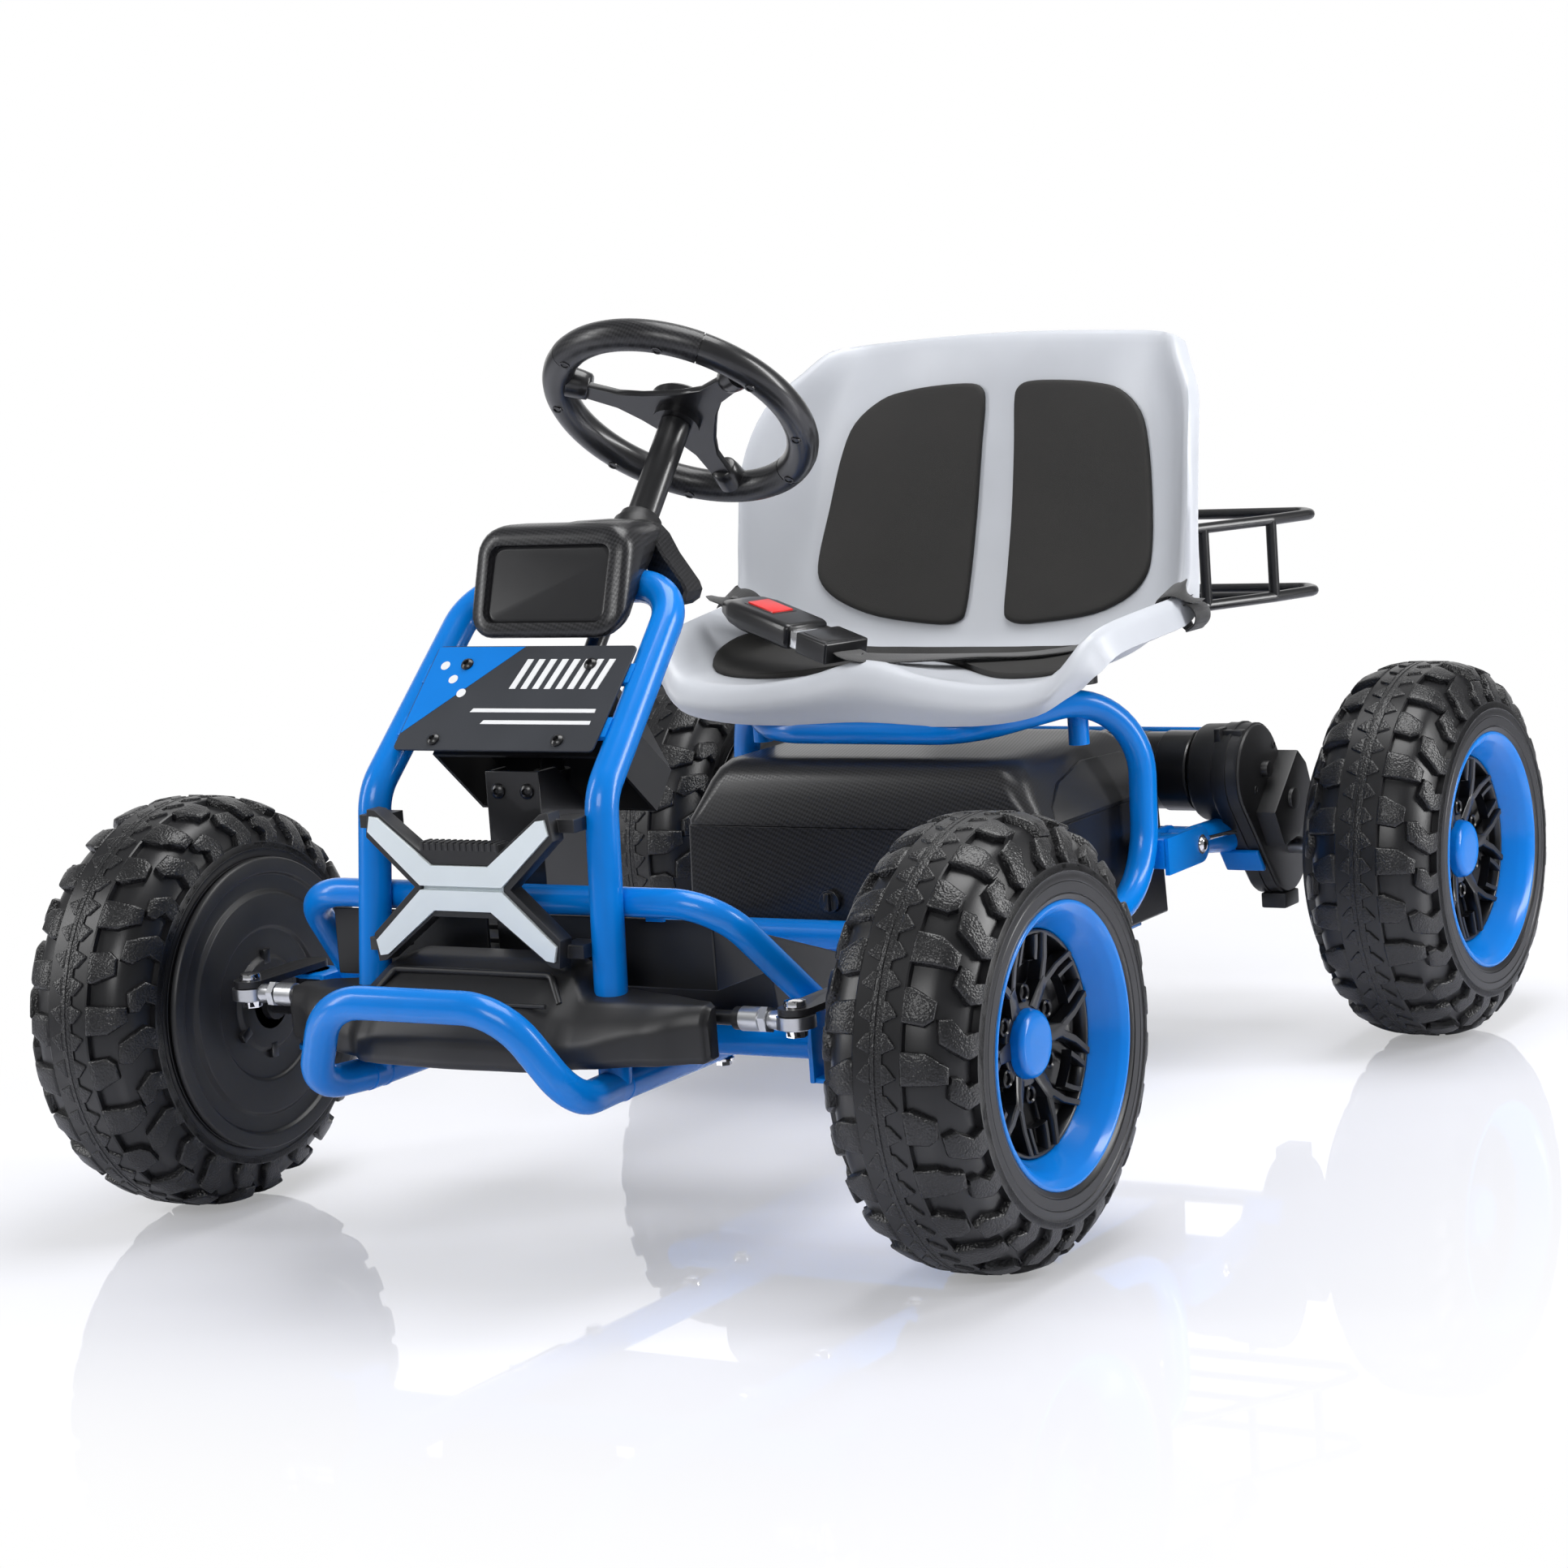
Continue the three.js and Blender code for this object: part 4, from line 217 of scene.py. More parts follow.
WRAP = surface("battery_wrap", (0.01, 0.05, 0.25), 0.25, coat=0.4, tint=0.1)

# Piece making

def link(name, mesh, mat, body, node):
    """An object that rides on a body, and stands for a node if one is named."""
    obj = bpy.data.objects.new(name, mesh)
    mesh.materials.clear()
    mesh.materials.append(mat)
    bpy.context.scene.collection.objects.link(obj)
    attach(obj, body)
    if node:
        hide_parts(node)
    return obj


def shade(mesh, angle):
    mesh.polygons.foreach_set("use_smooth", [True] * len(mesh.polygons))
    mesh.set_sharp_from_angle(angle=radians(angle))


def join(bm):
    bmesh.ops.remove_doubles(bm, verts=bm.verts, dist=1e-6)
    bmesh.ops.recalc_face_normals(bm, faces=bm.faces)


def piece(name, bm, mat, angle=38, body="chassis", node=None):
    """A piece from a finished shape; edges sharper than the angle stay sharp."""
    join(bm)
    mesh = bpy.data.meshes.new(name)
    bm.to_mesh(mesh)
    bm.free()
    shade(mesh, angle)
    return link(name, mesh, mat, body, node)


def add_faces(bm, points, faces):
    verts = [bm.verts.new(p) for p in points]
    for face in faces:
        try:
            bm.faces.new([verts[i] for i in face])
        except ValueError:
            continue


def add_grid(bm, rows, closed_rows=False, closed_columns=False):
    """Quads over a list of rows of points."""
    height, width = len(rows), len(rows[0])
    faces = []
    for i in range(height if closed_rows else height - 1):
        for j in range(width if closed_columns else width - 1):
            k = (i + 1) % height
            m = (j + 1) % width
            faces.append((i * width + j, i * width + m, k * width + m, k * width + j))
    add_faces(bm, [p for row in rows for p in row], faces)


def cap(bm, *rows):
    for row in rows:
        add_faces(bm, row, [tuple(range(len(row)))])


def fan(bm, row, centre):
    """Closes a loop with triangles to its centre."""
    count = len(row)
    add_faces(bm, row + [centre], [(i, (i + 1) % count, count) for i in range(count)])


def loft(bm, rows):
    """A closed solid over loops of points, flat at both ends."""
    add_grid(bm, rows, closed_columns=True)
    cap(bm, rows[0], rows[-1])


BEND_STEP = radians(7)


def bent_path(points, bend):
    """Straight runs joined by round bends: a list of (point, tangent), all in metres."""
    points = [Vector(p) for p in points]
    path = [(points[0], (points[1] - points[0]).normalized())]
    for before, corner, after in zip(points, points[1:], points[2:]):
        into = corner - before
        out = after - corner
        angle = into.angle(out)
        if angle < 1e-4:
            continue
        reach = min(bend * math.tan(angle / 2), into.length * 0.49, out.length * 0.49)
        into.normalize()
        out.normalize()
        start = corner - into * reach
        inward = (corner + out * reach - start).normalized()
        radius = reach / math.tan(angle / 2)
        way = (out - into).normalized()
        centre = corner + way * math.hypot(radius, reach)
        count = max(3, math.ceil(angle / BEND_STEP))
        for k in range(count + 1):
            swing = angle * (k / count - 0.5)
            point = centre - way * radius * cos(swing) + inward * radius * sin(swing)
            path.append((point, inward * cos(swing) + way * sin(swing)))
    path.append((points[-1], (points[-1] - points[-2]).normalized()))
    return path


def circle(centre, first, second, radius, sides):
    """Points round a centre in metres, in the plane of two directions."""
    turns = [tau * i / sides for i in range(sides)]
    return [centre + (first * cos(turn) + second * sin(turn)) * radius * MM for turn in turns]


def sweep(bm, points, radius, bend, sides=20):
    """A round bar along a bent path, with flat ends."""
    path = bent_path(points, max(bend, radius) * MM)
    normal = path[0][1].orthogonal().normalized()
    rows = []
    last = path[0][1]
    for point, tangent in path:
        normal = last.rotation_difference(tangent) @ normal
        normal = (normal - tangent * normal.dot(tangent)).normalized()
        last = tangent
        side = tangent.cross(normal)
        rows.append(circle(point, normal, side, radius, sides))
    loft(bm, rows)


def mirror_points(points):
    return [Vector((-p.x, p.y, p.z)) for p in points]


def both_sides(points):
    return mirror_points(reversed(points)) + list(points)


def round_axle(centre, x, radius, angle):
    """A point round the X axis through centre, from millimetres."""
    return centre + Vector((x, radius * cos(angle), radius * sin(angle))) * MM


def lathe(bm, profile, centre, side, segments):
    """A turned shape round the X axis through centre, from (along, radius) pairs in millimetres."""
    rows = []
    for i in range(segments):
        turn = tau * i / segments
        rows.append([round_axle(centre, side * along, radius, turn) for along, radius in profile])
    add_grid(bm, rows, closed_rows=True)


def rounded(profile, radius, steps=3):
    """Rounds the inner corners of a profile by a radius."""
    result = [profile[0]]
    for before, corner, after in zip(profile, profile[1:], profile[2:]):
        a, b, c = Vector(before), Vector(corner), Vector(after)
        reach = min(radius, (a - b).length * 0.45, (c - b).length * 0.45)
        start = b + (a - b).normalized() * reach
        end = b + (c - b).normalized() * reach
        for k in range(steps + 1):
            t = k / steps
            result.append(tuple(start * (1 - t) ** 2 + b * 2 * t * (1 - t) + end * t ** 2))
    result.append(profile[-1])
    return result


def dressed(node, mat, bevel=1.2, angle=32, segments=2, body="chassis"):
    """The node's own shape with softened edges, standing in for the flat-sided solid."""
    mesh = nodes[node].data.copy()
    bm = bmesh.new()
    bm.from_mesh(mesh)
    bmesh.ops.remove_doubles(bm, verts=bm.verts, dist=2e-5)
    bmesh.ops.dissolve_limit(bm, angle_limit=radians(1.5), verts=bm.verts, edges=bm.edges)
    bmesh.ops.recalc_face_normals(bm, faces=bm.faces)
    bm.to_mesh(mesh)
    bm.free()
    shade(mesh, 42)
    soft = link(node + "_skin", mesh, mat, body, node).modifiers.new("soft_edges", "BEVEL")
    soft.width = bevel * MM
    soft.segments = segments
    soft.limit_method = "ANGLE"
    soft.angle_limit = radians(angle)


def turned_block(bm, centre, axes, size, bevel, segments=2):
    """A block with soft edges, from its three unit directions and its three full lengths."""
    part = bmesh.new()
    bmesh.ops.create_cube(part, size=1.0)
    for vert in part.verts:
        vert.co = Vector([vert.co[i] * size[i] * MM for i in range(3)])
    bmesh.ops.bevel(
        part, geom=part.edges[:], offset=bevel * MM, segments=segments, affect="EDGES", profile=0.6,
    )
    turn = Matrix([[axes[j][i] for j in range(3)] for i in range(3)]).to_4x4()
    bmesh.ops.transform(part, matrix=Matrix.Translation(centre) @ turn, verts=part.verts)
    copy_into(bm, part)


def block(bm, centre, size, bevel):
    """A block along the three axes."""
    turned_block(bm, centre, AXES, size, bevel)


def copy_into(bm, part):
    mesh = bpy.data.meshes.new("part")
    part.to_mesh(mesh)
    part.free()
    bm.from_mesh(mesh)
    bpy.data.meshes.remove(mesh)


# The radius that a stack has where it comes to a point
POINT_RADIUS = 0.01


def disc_stack(bm, start, way, steps, sides=24):
    """A turned stack: (distance along, radius) pairs from start along a direction."""
    way = Vector(way).normalized()
    first = way.orthogonal().normalized()
    second = way.cross(first)
    rows = [
        circle(start + way * along * MM, first, second, max(radius, POINT_RADIUS), sides)
        for along, radius in steps
    ]
    add_grid(bm, rows, closed_columns=True)


def cylinder(bm, start, way, radius, length, sides=24):
    disc_stack(bm, start, way, [(0, 0), (0, radius), (length, radius), (length, 0)], sides)


def screw(bm, at, way, radius, height):
    """A round screw head with a round recess in its top."""
    disc_stack(bm, at, way, [
        (-height, radius), (height * 0.4, radius), (height * 0.8, radius * 0.8), (height, radius * 0.45),
        (height * 0.35, radius * 0.3), (height * 0.3, 0),
    ], 18)


def bolt_head(bm, at, way, radius, height):
    """A hexagon bolt head with a washer under it."""
    disc_stack(bm, at, way, [
        (-height * 0.2, 0), (-height * 0.2, radius * 1.35), (height * 0.15, radius * 1.35),
        (height * 0.15, 0),
    ], 20)
    disc_stack(
        bm, at, way, [(0, 0), (0, radius), (height * 0.85, radius), (height, radius * 0.85), (height, 0)],
        6,
    )


# Blue tube frame

TUBE = 12.5
RAIL_X = 108.5
# The swing arm's pivot: its x at the left, and its y and z
PIVOT_X = 200
PIVOT = (661, 190)
BUMPER = [place(77, -198, 217), place(117, -171, 145), place(RAIL_X, -113, 143)]
RAIL = [place(RAIL_X, -119, 143), place(RAIL_X, 430, 146)]
# The hoop's two bends as (y, z); the number plate lies along the line between them
HOOP_TOP, HOOP_FOOT = (53, 489), (-87, 353)
HOOP = [place(93, *HOOP_TOP), place(102, *HOOP_FOOT), place(RAIL_X, -106, 143)]
GUARD = [place(186, -76, 273), place(213, 25, 172)]
ARCH = [place(98, 470, 317), place(199, 595, 341), place(199, 584, 161), place(199, 418, 146)]


def tube_piece(name, paths, node):
    bm = bmesh.new()
    for points, radius, bend in paths:
        sweep(bm, points, radius, bend)
    piece(name, bm, BLUE, node=node)


def frame_tubes():
    tube_piece("bumper_and_rails", [
        (both_sides(BUMPER), TUBE, 54), (RAIL, TUBE, 0), (mirror_points(RAIL), TUBE, 0),
        ([place(-199, 430, 146), place(199, 430, 146)], TUBE, 0),
    ], "lower_frame")
    rings = bmesh.new()
    for side in (-1, 1):
        ring = [(-0.8, 12), (-0.6, 13), (0.6, 13), (0.8, 12), (-0.8, 12)]
        disc_stack(rings, place(side * RAIL_X, -100, 143.1), (0, 1, 0), ring, 28)
    piece("bumper_joints", rings, BLUE)
    tube_piece("hoop_tube", [(both_sides(HOOP), TUBE, 40)], "front_hoop")
    tube_piece("guard_tube", [(both_sides(GUARD), 11, 46)], "brush_guard")
    tube_piece("arch_tube", [(both_sides(ARCH), 12, 70)], "seat_arch")


def frame_plates():
    """The guard's tabs, the sheet under the battery box, and the brackets and struts of the arch."""
    tabs = bmesh.new()
    for side in (-1, 1):
        block(tabs, place(side * 127, -70, 266), (22, 9, 4), 1)
        block(tabs, place(side * 127, -66, 262), (16, 3, 10), 0.8)
    piece("guard_tabs", tabs, BLUE)
    sheet = bmesh.new()
    block(sheet, place(0, 535, 124), (340, 190, 3), 1)
    block(sheet, place(0, 441.5, 133.5), (340, 3, 20), 1)
    piece("tray_sheet", sheet, BLUE)
    struts = bmesh.new()
    for side in (-1, 1):
        cylinder(struts, place(side * 158, 556, 293.4), (0, 0, 1), 9, 36)
        pivot_bracket(struts, side)
    piece("arch_brackets", struts, BLUE)


def frame_bolts():
    """Bolts under the rails, and the domed ends of the swing arm's two pivot bolts."""
    heads = bmesh.new()
    for side in (-1, 1):
        for y in (40, 150, 300, 380):
            bolt_head(heads, place(side * RAIL_X, y, 130.8), (0, 0, -1), 6, 5)
        for out in (-1, 1):
            dome = [(-1, 0), (-1, 8.5), (0.8, 8.5), (1, 6.8), (3, 6.2), (4.8, 4), (5.4, 0)]
            disc_stack(heads, place(side * PIVOT_X + out * 17, *PIVOT), (out, 0, 0), dome, 28)
    piece("frame_bolts", heads, CHROME)


def pivot_bracket(bm, side):
    """Two plate ears behind the arch, round the swing arm's eye."""
    block(bm, place(side * PIVOT_X, 614, 192), (33.8, 38, 26), 2.5)
    for ear in (-1, 1):
        x = side * PIVOT_X + ear * 15
        outline = [(595, 174), (595, 206)]
        outline += [
            (PIVOT[0] + 16 * cos(a), PIVOT[1] + 16 * sin(a))
            for a in [radians(90 - 15 * k) for k in range(13)]
        ]
        slab(bm, x - 2, x + 2, outline)


def slab(bm, low, high, outline):
    """A plate square to X between two x positions, with an outline in y and z, in millimetres."""
    loft(bm, [[place(x, y, z) for y, z in outline] for x in (low, high)])


# Wheels

RADIUS = 165
HALF = 64
CROWN = [
    (0, 0), (0.25, 0), (0.45, 0.035), (0.66, 0.11), (0.82, 0.29), (0.92, 0.48), (0.97, 0.66), (1, 0.86),
]
CROWN_X = [HALF * a for a, b in CROWN]
CROWN_R = [RADIUS - HALF * b for a, b in CROWN]
CROWN_S = [0.0]
for k in range(1, len(CROWN)):
    CROWN_S.append(CROWN_S[-1] + math.hypot(CROWN_X[k] - CROWN_X[k - 1], CROWN_R[k] - CROWN_R[k - 1]))


def crown_at(s, drop):
    """The (x, radius) place a drop below the tread's top surface, at arc length s from its middle."""
    a = min(s, CROWN_S[-1] - 1e-6)
    k = max(i for i, v in enumerate(CROWN_S) if v <= a)
    k = min(k, len(CROWN_S) - 2)
    t = (a - CROWN_S[k]) / (CROWN_S[k + 1] - CROWN_S[k])
    x = CROWN_X[k] + t * (CROWN_X[k + 1] - CROWN_X[k])
    r = CROWN_R[k] + t * (CROWN_R[k + 1] - CROWN_R[k])
    slopes = []
    for i in (k, k + 1):
        j, m = max(i - 1, 0), min(i + 1, len(CROWN_S) - 1)
        slopes.append(math.atan2(CROWN_R[j] - CROWN_R[m], CROWN_X[m] - CROWN_X[j]))
    slope = slopes[0] * (1 - t) + slopes[1] * t
    return x - drop * sin(slope), r - drop * cos(slope)


def tread_point(centre, side, s, turn, drop):
    x, r = crown_at(abs(s), drop)
    return round_axle(centre, side * math.copysign(x, s), r, turn)


def lug(bm, centre, side, outline, turn, height, chamfer=1.3):
    """A raised block of the tread, from an outline in millimetres: across, and round the tyre."""
    dense = []
    for (s0, w0), (s1, w1) in zip(outline, outline[1:] + outline[:1]):
        cuts = max(1, round(math.hypot(s1 - s0, w1 - w0) / 7))
        dense += [(s0 + (s1 - s0) * k / cuts, w0 + (w1 - w0) * k / cuts) for k in range(cuts)]
    middle = (sum(s for s, w in dense) / len(dense), sum(w for s, w in dense) / len(dense))

    def loop(share, drop, extra=0.0):
        row = []
        for s, w in dense:
            ds, dw = s - middle[0], w - middle[1]
            length = math.hypot(ds, dw)
            scale = share + extra / length
            row.append(tread_point(
                centre, side, middle[0] + ds * scale, turn + (middle[1] + dw * scale) / RADIUS, drop,
            ))
        return row

    rows = [
        loop(1, height + 1, 1.0), loop(1, chamfer), loop(1, chamfer * 0.3, -chamfer * 0.7),
        loop(1, 0, -chamfer * 1.6), loop(0.5, 0),
    ]
    add_grid(bm, rows, closed_columns=True)
    fan(bm, rows[-1], tread_point(centre, side, middle[0], turn + middle[1] / RADIUS, 0))


LUGS = 24
PITCH = tau / LUGS
LONG_BLOCK = [(18.5, -12), (37, -11), (55, -1), (54, 12), (18.5, 12)]
SHORT_BLOCK = [(18.5, -13), (24, -14), (43, -5), (42, 8), (35, 13), (18.5, 11)]
SHOULDERS = (
    [(45, -14), (55, -16), (68, -5), (80, -10), (80, 12), (70, 16), (47, 3)],
    [(56, -15), (64, -14), (70, -5), (80, -9), (80, 11), (68, 14), (54, 2)],
)
TOOTH = [(4.4, -7.5), (7.5, -7), (15, 1.5), (14.5, 3), (4.4, 7.5)]
LUG_PHASE = 0.6
FAR_FLANK_SHIFT = 0.2
TOOTH_SHIFT = 0.11
LUG_HEIGHT = 6.0
TYRE_SEGMENTS = 96
BEAD_RADIUS = 100.4
RING_START, RING_END = 77.5, 84.0


def tyre_carcass(name, body, centre, side):
    """The smooth body of the tyre, from bead to bead."""
    carcass = bmesh.new()
    outer = []
    for s in (
        0, 6, 12, 19, 26, 33, 40, 47, 54, 61, 68, 74, RING_START - 1.2, RING_START, RING_END - 0.6,
        RING_END,
    ):
        outer.append(crown_at(s, LUG_HEIGHT if s < RING_START - 0.5 else (0.0 if s < RING_END else 0.9)))
    wall = [
        (61.0, 121), (61.4, 119.6), (61.4, 117.2), (60.9, 116.6), (61.3, 116.0), (61.2, 108.6), (60.4, 108),
        (60.8, 107.2), (60.0, 104.4), (56, BEAD_RADIUS),
    ]
    inboard = [(-x, r) for x, r in reversed(wall)]
    profile = inboard + [(-x, r) for x, r in reversed(outer[1:])] + outer + wall + [inboard[0]]
    lathe(carcass, profile, centre, side, TYRE_SEGMENTS)
    piece(name + "_carcass", carcass, RUBBER, 30, body=body, node=name)


def tyre_lugs(name, body, centre, side):
    """Long and short blocks by turns on each flank, each with a shoulder tooth behind it."""
    blocks = bmesh.new()
    for k in range(LUGS):
        for flank in (-1, 1):
            far = side * flank < 0
            turn = (k + LUG_PHASE + (FAR_FLANK_SHIFT if far else 0)) * PITCH
            long = (k % 2 == 1) != far
            shapes = (LONG_BLOCK if long else SHORT_BLOCK, turn), (SHOULDERS[long], turn + PITCH / 2 * side)
            for shape, at in shapes:
                outline = [(flank * across, side * along) for across, along in shape]
                lug(blocks, centre, side, outline, at, LUG_HEIGHT)
    piece(name + "_lugs", blocks, PEBBLE, 32, body=body)


def tyre_rings(name, body, centre, side):
    """The raised ring of each side wall, where the lugs end."""
    ring = bmesh.new()
    for flank in (-1, 1):
        band = []
        for s, drop in (
            (RING_START - 0.4, 4), (RING_START, 0.4), (RING_START + 1, 0), (RING_END - 1, 0),
            (RING_END, 0.5), (RING_END + 0.2, 3),
        ):
            x, r = crown_at(s, drop)
            band.append((flank * x, r))
        lathe(ring, band + [band[0]], centre, side, TYRE_SEGMENTS)
    piece(name + "_rings", ring, PEBBLE, 32, body=body)


def tyre_middle(name, body, centre, side):
    """The toothed rib round the middle of the tread, and the band under it."""
    rib = bmesh.new()
    top = RADIUS - 0.2
    strip = [
        (-5.4, top - 4), (-5.0, top - 0.3), (-1.1, top), (-0.7, top - 0.6), (0.5, top - 0.6), (0.9, top),
        (5.0, top - 0.3), (5.4, top - 4),
    ]
    lathe(rib, strip + [strip[0]], centre, side, TYRE_SEGMENTS)
    for k in range(2 * LUGS):
        turn = (k / 2 + LUG_PHASE + TOOTH_SHIFT * side) * PITCH
        for flank in (-1, 1):
            outline = [(flank * across, side * along) for across, along in TOOTH]
            lug(rib, centre, side, outline, turn, 2.2, 0.4)
    band = bmesh.new()
    sides = [(19.7, top - 7), (19.4, top - 2.3), (18.2, top - 1.5)]
    belt = [(-x, r) for x, r in sides] + [(0, top - 1.3)] + sides[::-1]
    lathe(band, belt + [belt[0]], centre, side, TYRE_SEGMENTS)
    piece(name + "_band", band, RUBBER, 32, body=body)
    piece(name + "_rib", rib, PEBBLE, 32, body=body)


def tyre(name, body, centre, side):
    for part in (tyre_carcass, tyre_lugs, tyre_rings, tyre_middle):
        part(name, body, centre, side)


def rim(name, body, centre, side):
    bm = bmesh.new()
    profile = rounded([
        (-52, 95), (-52, 99.9), (54, 99.9), (56, 103.2), (59.5, 103.4), (60.5, 100.5), (56, 95), (49, 90),
        (38, 83.5), (35, 82), (30, 82), (30, 95), (-52, 95),
    ], 1.6)
    lathe(bm, profile, centre, side, TYRE_SEGMENTS)
    piece(name + "_turned", bm, BLUE, 30, body=body, node=name)


def spoke_bar(bm, centre, side, start, end, proud, deep):
    """A raised bar on the wheel's cone between two (radius, angle) places."""
    def cone(radius, angle, lift):
        return round_axle(centre, side * (27 + (radius - 25) * 10 / 57 + lift), radius, angle)

    (r0, a0, w0), (r1, a1, w1) = start, end
    rows = []
    for r, a, w in ((r0, a0, w0), ((r0 + r1) / 2, (a0 + a1) / 2, (w0 + w1) / 2), (r1, a1, w1)):
        half = w / r
        rows.append([
            cone(r, a - half, -deep), cone(r, a - half * 0.95, proud - 1), cone(r, a - half * 0.7, proud),
            cone(r, a + half * 0.7, proud), cone(r, a + half * 0.95, proud - 1), cone(r, a + half, -deep),
        ])
    loft(bm, rows)


def wheel_disc(name, body, centre, side):
    bm = bmesh.new()
    back = rounded([
        (12, 8.5), (12, 36), (20, 78), (30, 81.6), (36.6, 81.6), (36.6, 78.5), (32, 77), (26, 76), (17, 36),
        (22, 33), (29, 31), (29, 24), (27, 8.5), (12, 8.5),
    ], 1.2)
    lathe(bm, back, centre, side, 72)
    hub = [(-70, 8.5), (-70, 20.5), (14, 20.5), (14, 8.5), (-70, 8.5)]
    lathe(bm, hub, centre, side, 36)
    cover = rounded([
        (-70, 8.5), (-70, 36), (-66.5, 39), (-66.5, 60), (-69, 62), (-69, 88), (-66, 91), (-66, 103),
        (-69.6, 105), (-69.6, 116), (-67, 117), (-64.4, 117), (-64.4, 8.5), (-70, 8.5),
    ], 1.0)
    dish = bmesh.new()
    lathe(dish, cover, centre, side, TYRE_SEGMENTS)
    piece(name + "_cover", dish, BLACK, 34, body=body)
    for k in range(6):
        angle = tau * k / 6
        spoke_bar(bm, centre, side, (27, angle, 7.5), (50, angle, 5), 3, 8)
        for lean in (-1, 1):
            spoke_bar(
                bm, centre, side, (47, angle + lean * 0.04, 3.6), (79, angle + lean * 0.27, 2.8), 2.6, 8,
            )
        mid = angle + tau / 12
        spoke_bar(bm, centre, side, (60, mid - 0.2, 2.2), (60.5, mid + 0.2, 2.2), 1.2, 7)
        for lean in (-0.2, 0.2):
            spoke_bar(bm, centre, side, (60, mid + lean, 2.4), (78, mid + lean * 0.6, 2.4), 1.2, 7)
    piece(name + "_spoked", bm, GLOSS_BLACK, 34, body=body, node=name)
    nuts = bmesh.new()
    for k in range(6):
        angle = tau * (k + 0.5) / 6
        at = round_axle(centre, side * 28, 37, angle)
        disc_stack(nuts, at, (side, 0, 0), [
            (-10, 6.6), (1.8, 6.6), (2.8, 5.6), (1.8, 4.4), (-3, 4),
            (-3, 3.2), (0, 3), (0, 0),
        ], 20)
        notch = round_axle(centre, side * -68, 38, angle)
        out = Vector((0, cos(angle), sin(angle)))
        turned_block(nuts, notch, (AXES[0], out, AXES[0].cross(out)), (5, 12, 8), 1)
    piece(name + "_nuts", nuts, GLOSS_BLACK, 34, body=body)


def hub_cap(name, body, centre, side):
    bm = bmesh.new()
    profile = rounded(
        [(27.4, 0), (27.4, 25.5), (30, 25.5), (36, 24.2), (38.6, 21), (39.4, 14), (39.6, 0)], 1.8, 4,
    )
    lathe(bm, profile, centre, side, 60)
    piece(name + "_turned", bm, BLUE, 30, body=body, node=name)


# Each axle's y and the x of its left wheel
AXLES = (("front", 0, 361), ("rear", 805, 368))


def wheels():
    for end, y, track in AXLES:
        for side, name in SIDES:
            key = f"{end}_{name}"
            centre = place(side * track, y, RADIUS)
            body = key + "_wheel"
            tyre(key + "_tyre", body, centre, side)
            rim(key + "_rim", body, centre, side)
            wheel_disc(key + "_wheel_disc", body, centre, side)
            hub_cap(key + "_hub_cap", body, centre, side)


# Steering

HUB_Y, HUB_Z, JOINT_Z = 214, 609, 360
COLUMN_WAY = Vector((0, HUB_Y, HUB_Z - JOINT_Z)).normalized()
JOINT = place(0, 0, JOINT_Z)
HUB = place(0, HUB_Y, HUB_Z)
WHEEL_AXES = (AXES[0], Vector((0, COLUMN_WAY.z, -COLUMN_WAY.y)), COLUMN_WAY)
SPOKES = (pi / 2, pi * 7 / 6, -pi / 6)
RING_RADIUS = 101
RING_STEPS = 40
BUSH_Y = 150
KINGPIN_X = 247


def in_wheel(radius, angle, out=0.0):
    x, y, n = WHEEL_AXES
    return HUB + (x * cos(angle) * radius + y * sin(angle) * radius + n * out) * MM


def ring_part(bm, start, end, tube, caps=True):
    """Part of the steering wheel's ring between two angles; slightly flattened on the driver's side."""
    rows = []
    for k in range(RING_STEPS + 1):
        angle = start + (end - start) * k / RING_STEPS
        row = []
        for i in range(20):
            a = tau * i / 20
            squash = 0.92 if sin(a) > 0 else 1.0
            row.append(in_wheel(RING_RADIUS + tube * cos(a), angle, tube * sin(a) * squash))
        rows.append(row)
    add_grid(bm, rows, closed_columns=True)
    if caps:
        cap(bm, rows[0], rows[-1])


def steering_pin(side):
    return place(side * KINGPIN_X, -76, 191)


def steering_ring():
    """Two carbon-look grips, the plain ring between and under them, the spokes' ends and the screws."""
    grip = radians(38)
    seam = radians(0.5)
    carbon_parts = bmesh.new()
    for middle in (pi / 2, -pi / 2):
        ring_part(carbon_parts, middle - grip + seam, middle + grip - seam, 13)
    piece(
        "wheel_grips", carbon_parts, CARBON, 50, body="steering_wheel",
        node="steering_wheel_rim",
    )
    plain = bmesh.new()
    for middle in (0, pi):
        ring_part(plain, middle - (pi / 2 - grip), middle + (pi / 2 - grip), 12.8)
    for middle in (pi / 2, -pi / 2):
        ring_part(plain, middle - grip, middle + grip, 11.5, caps=False)
    for angle in SPOKES:
        way = in_wheel(1, angle) - HUB
        disc_stack(
            plain, in_wheel(92, angle), -way,
            [(0, 0), (0, 12.5), (10, 11.8), (16.5, 10.8), (18, 9.2), (18.2, 0)],
        )
    piece("wheel_ring", plain, BLACK_PAINT, 50, body="steering_wheel")
    holes = bmesh.new()
    for angle in (15, 50, 112, 150, 195, 235, 290, 335):
        disc_stack(
            holes, in_wheel(RING_RADIUS, radians(angle), -12.2), -COLUMN_WAY,
            [(-2, 4.2), (1.2, 4.2), (1.2, 3), (-1, 2.8), (-1, 0)],
        )
    piece("wheel_screws", holes, GLOSS_BLACK, 40, body="steering_wheel")


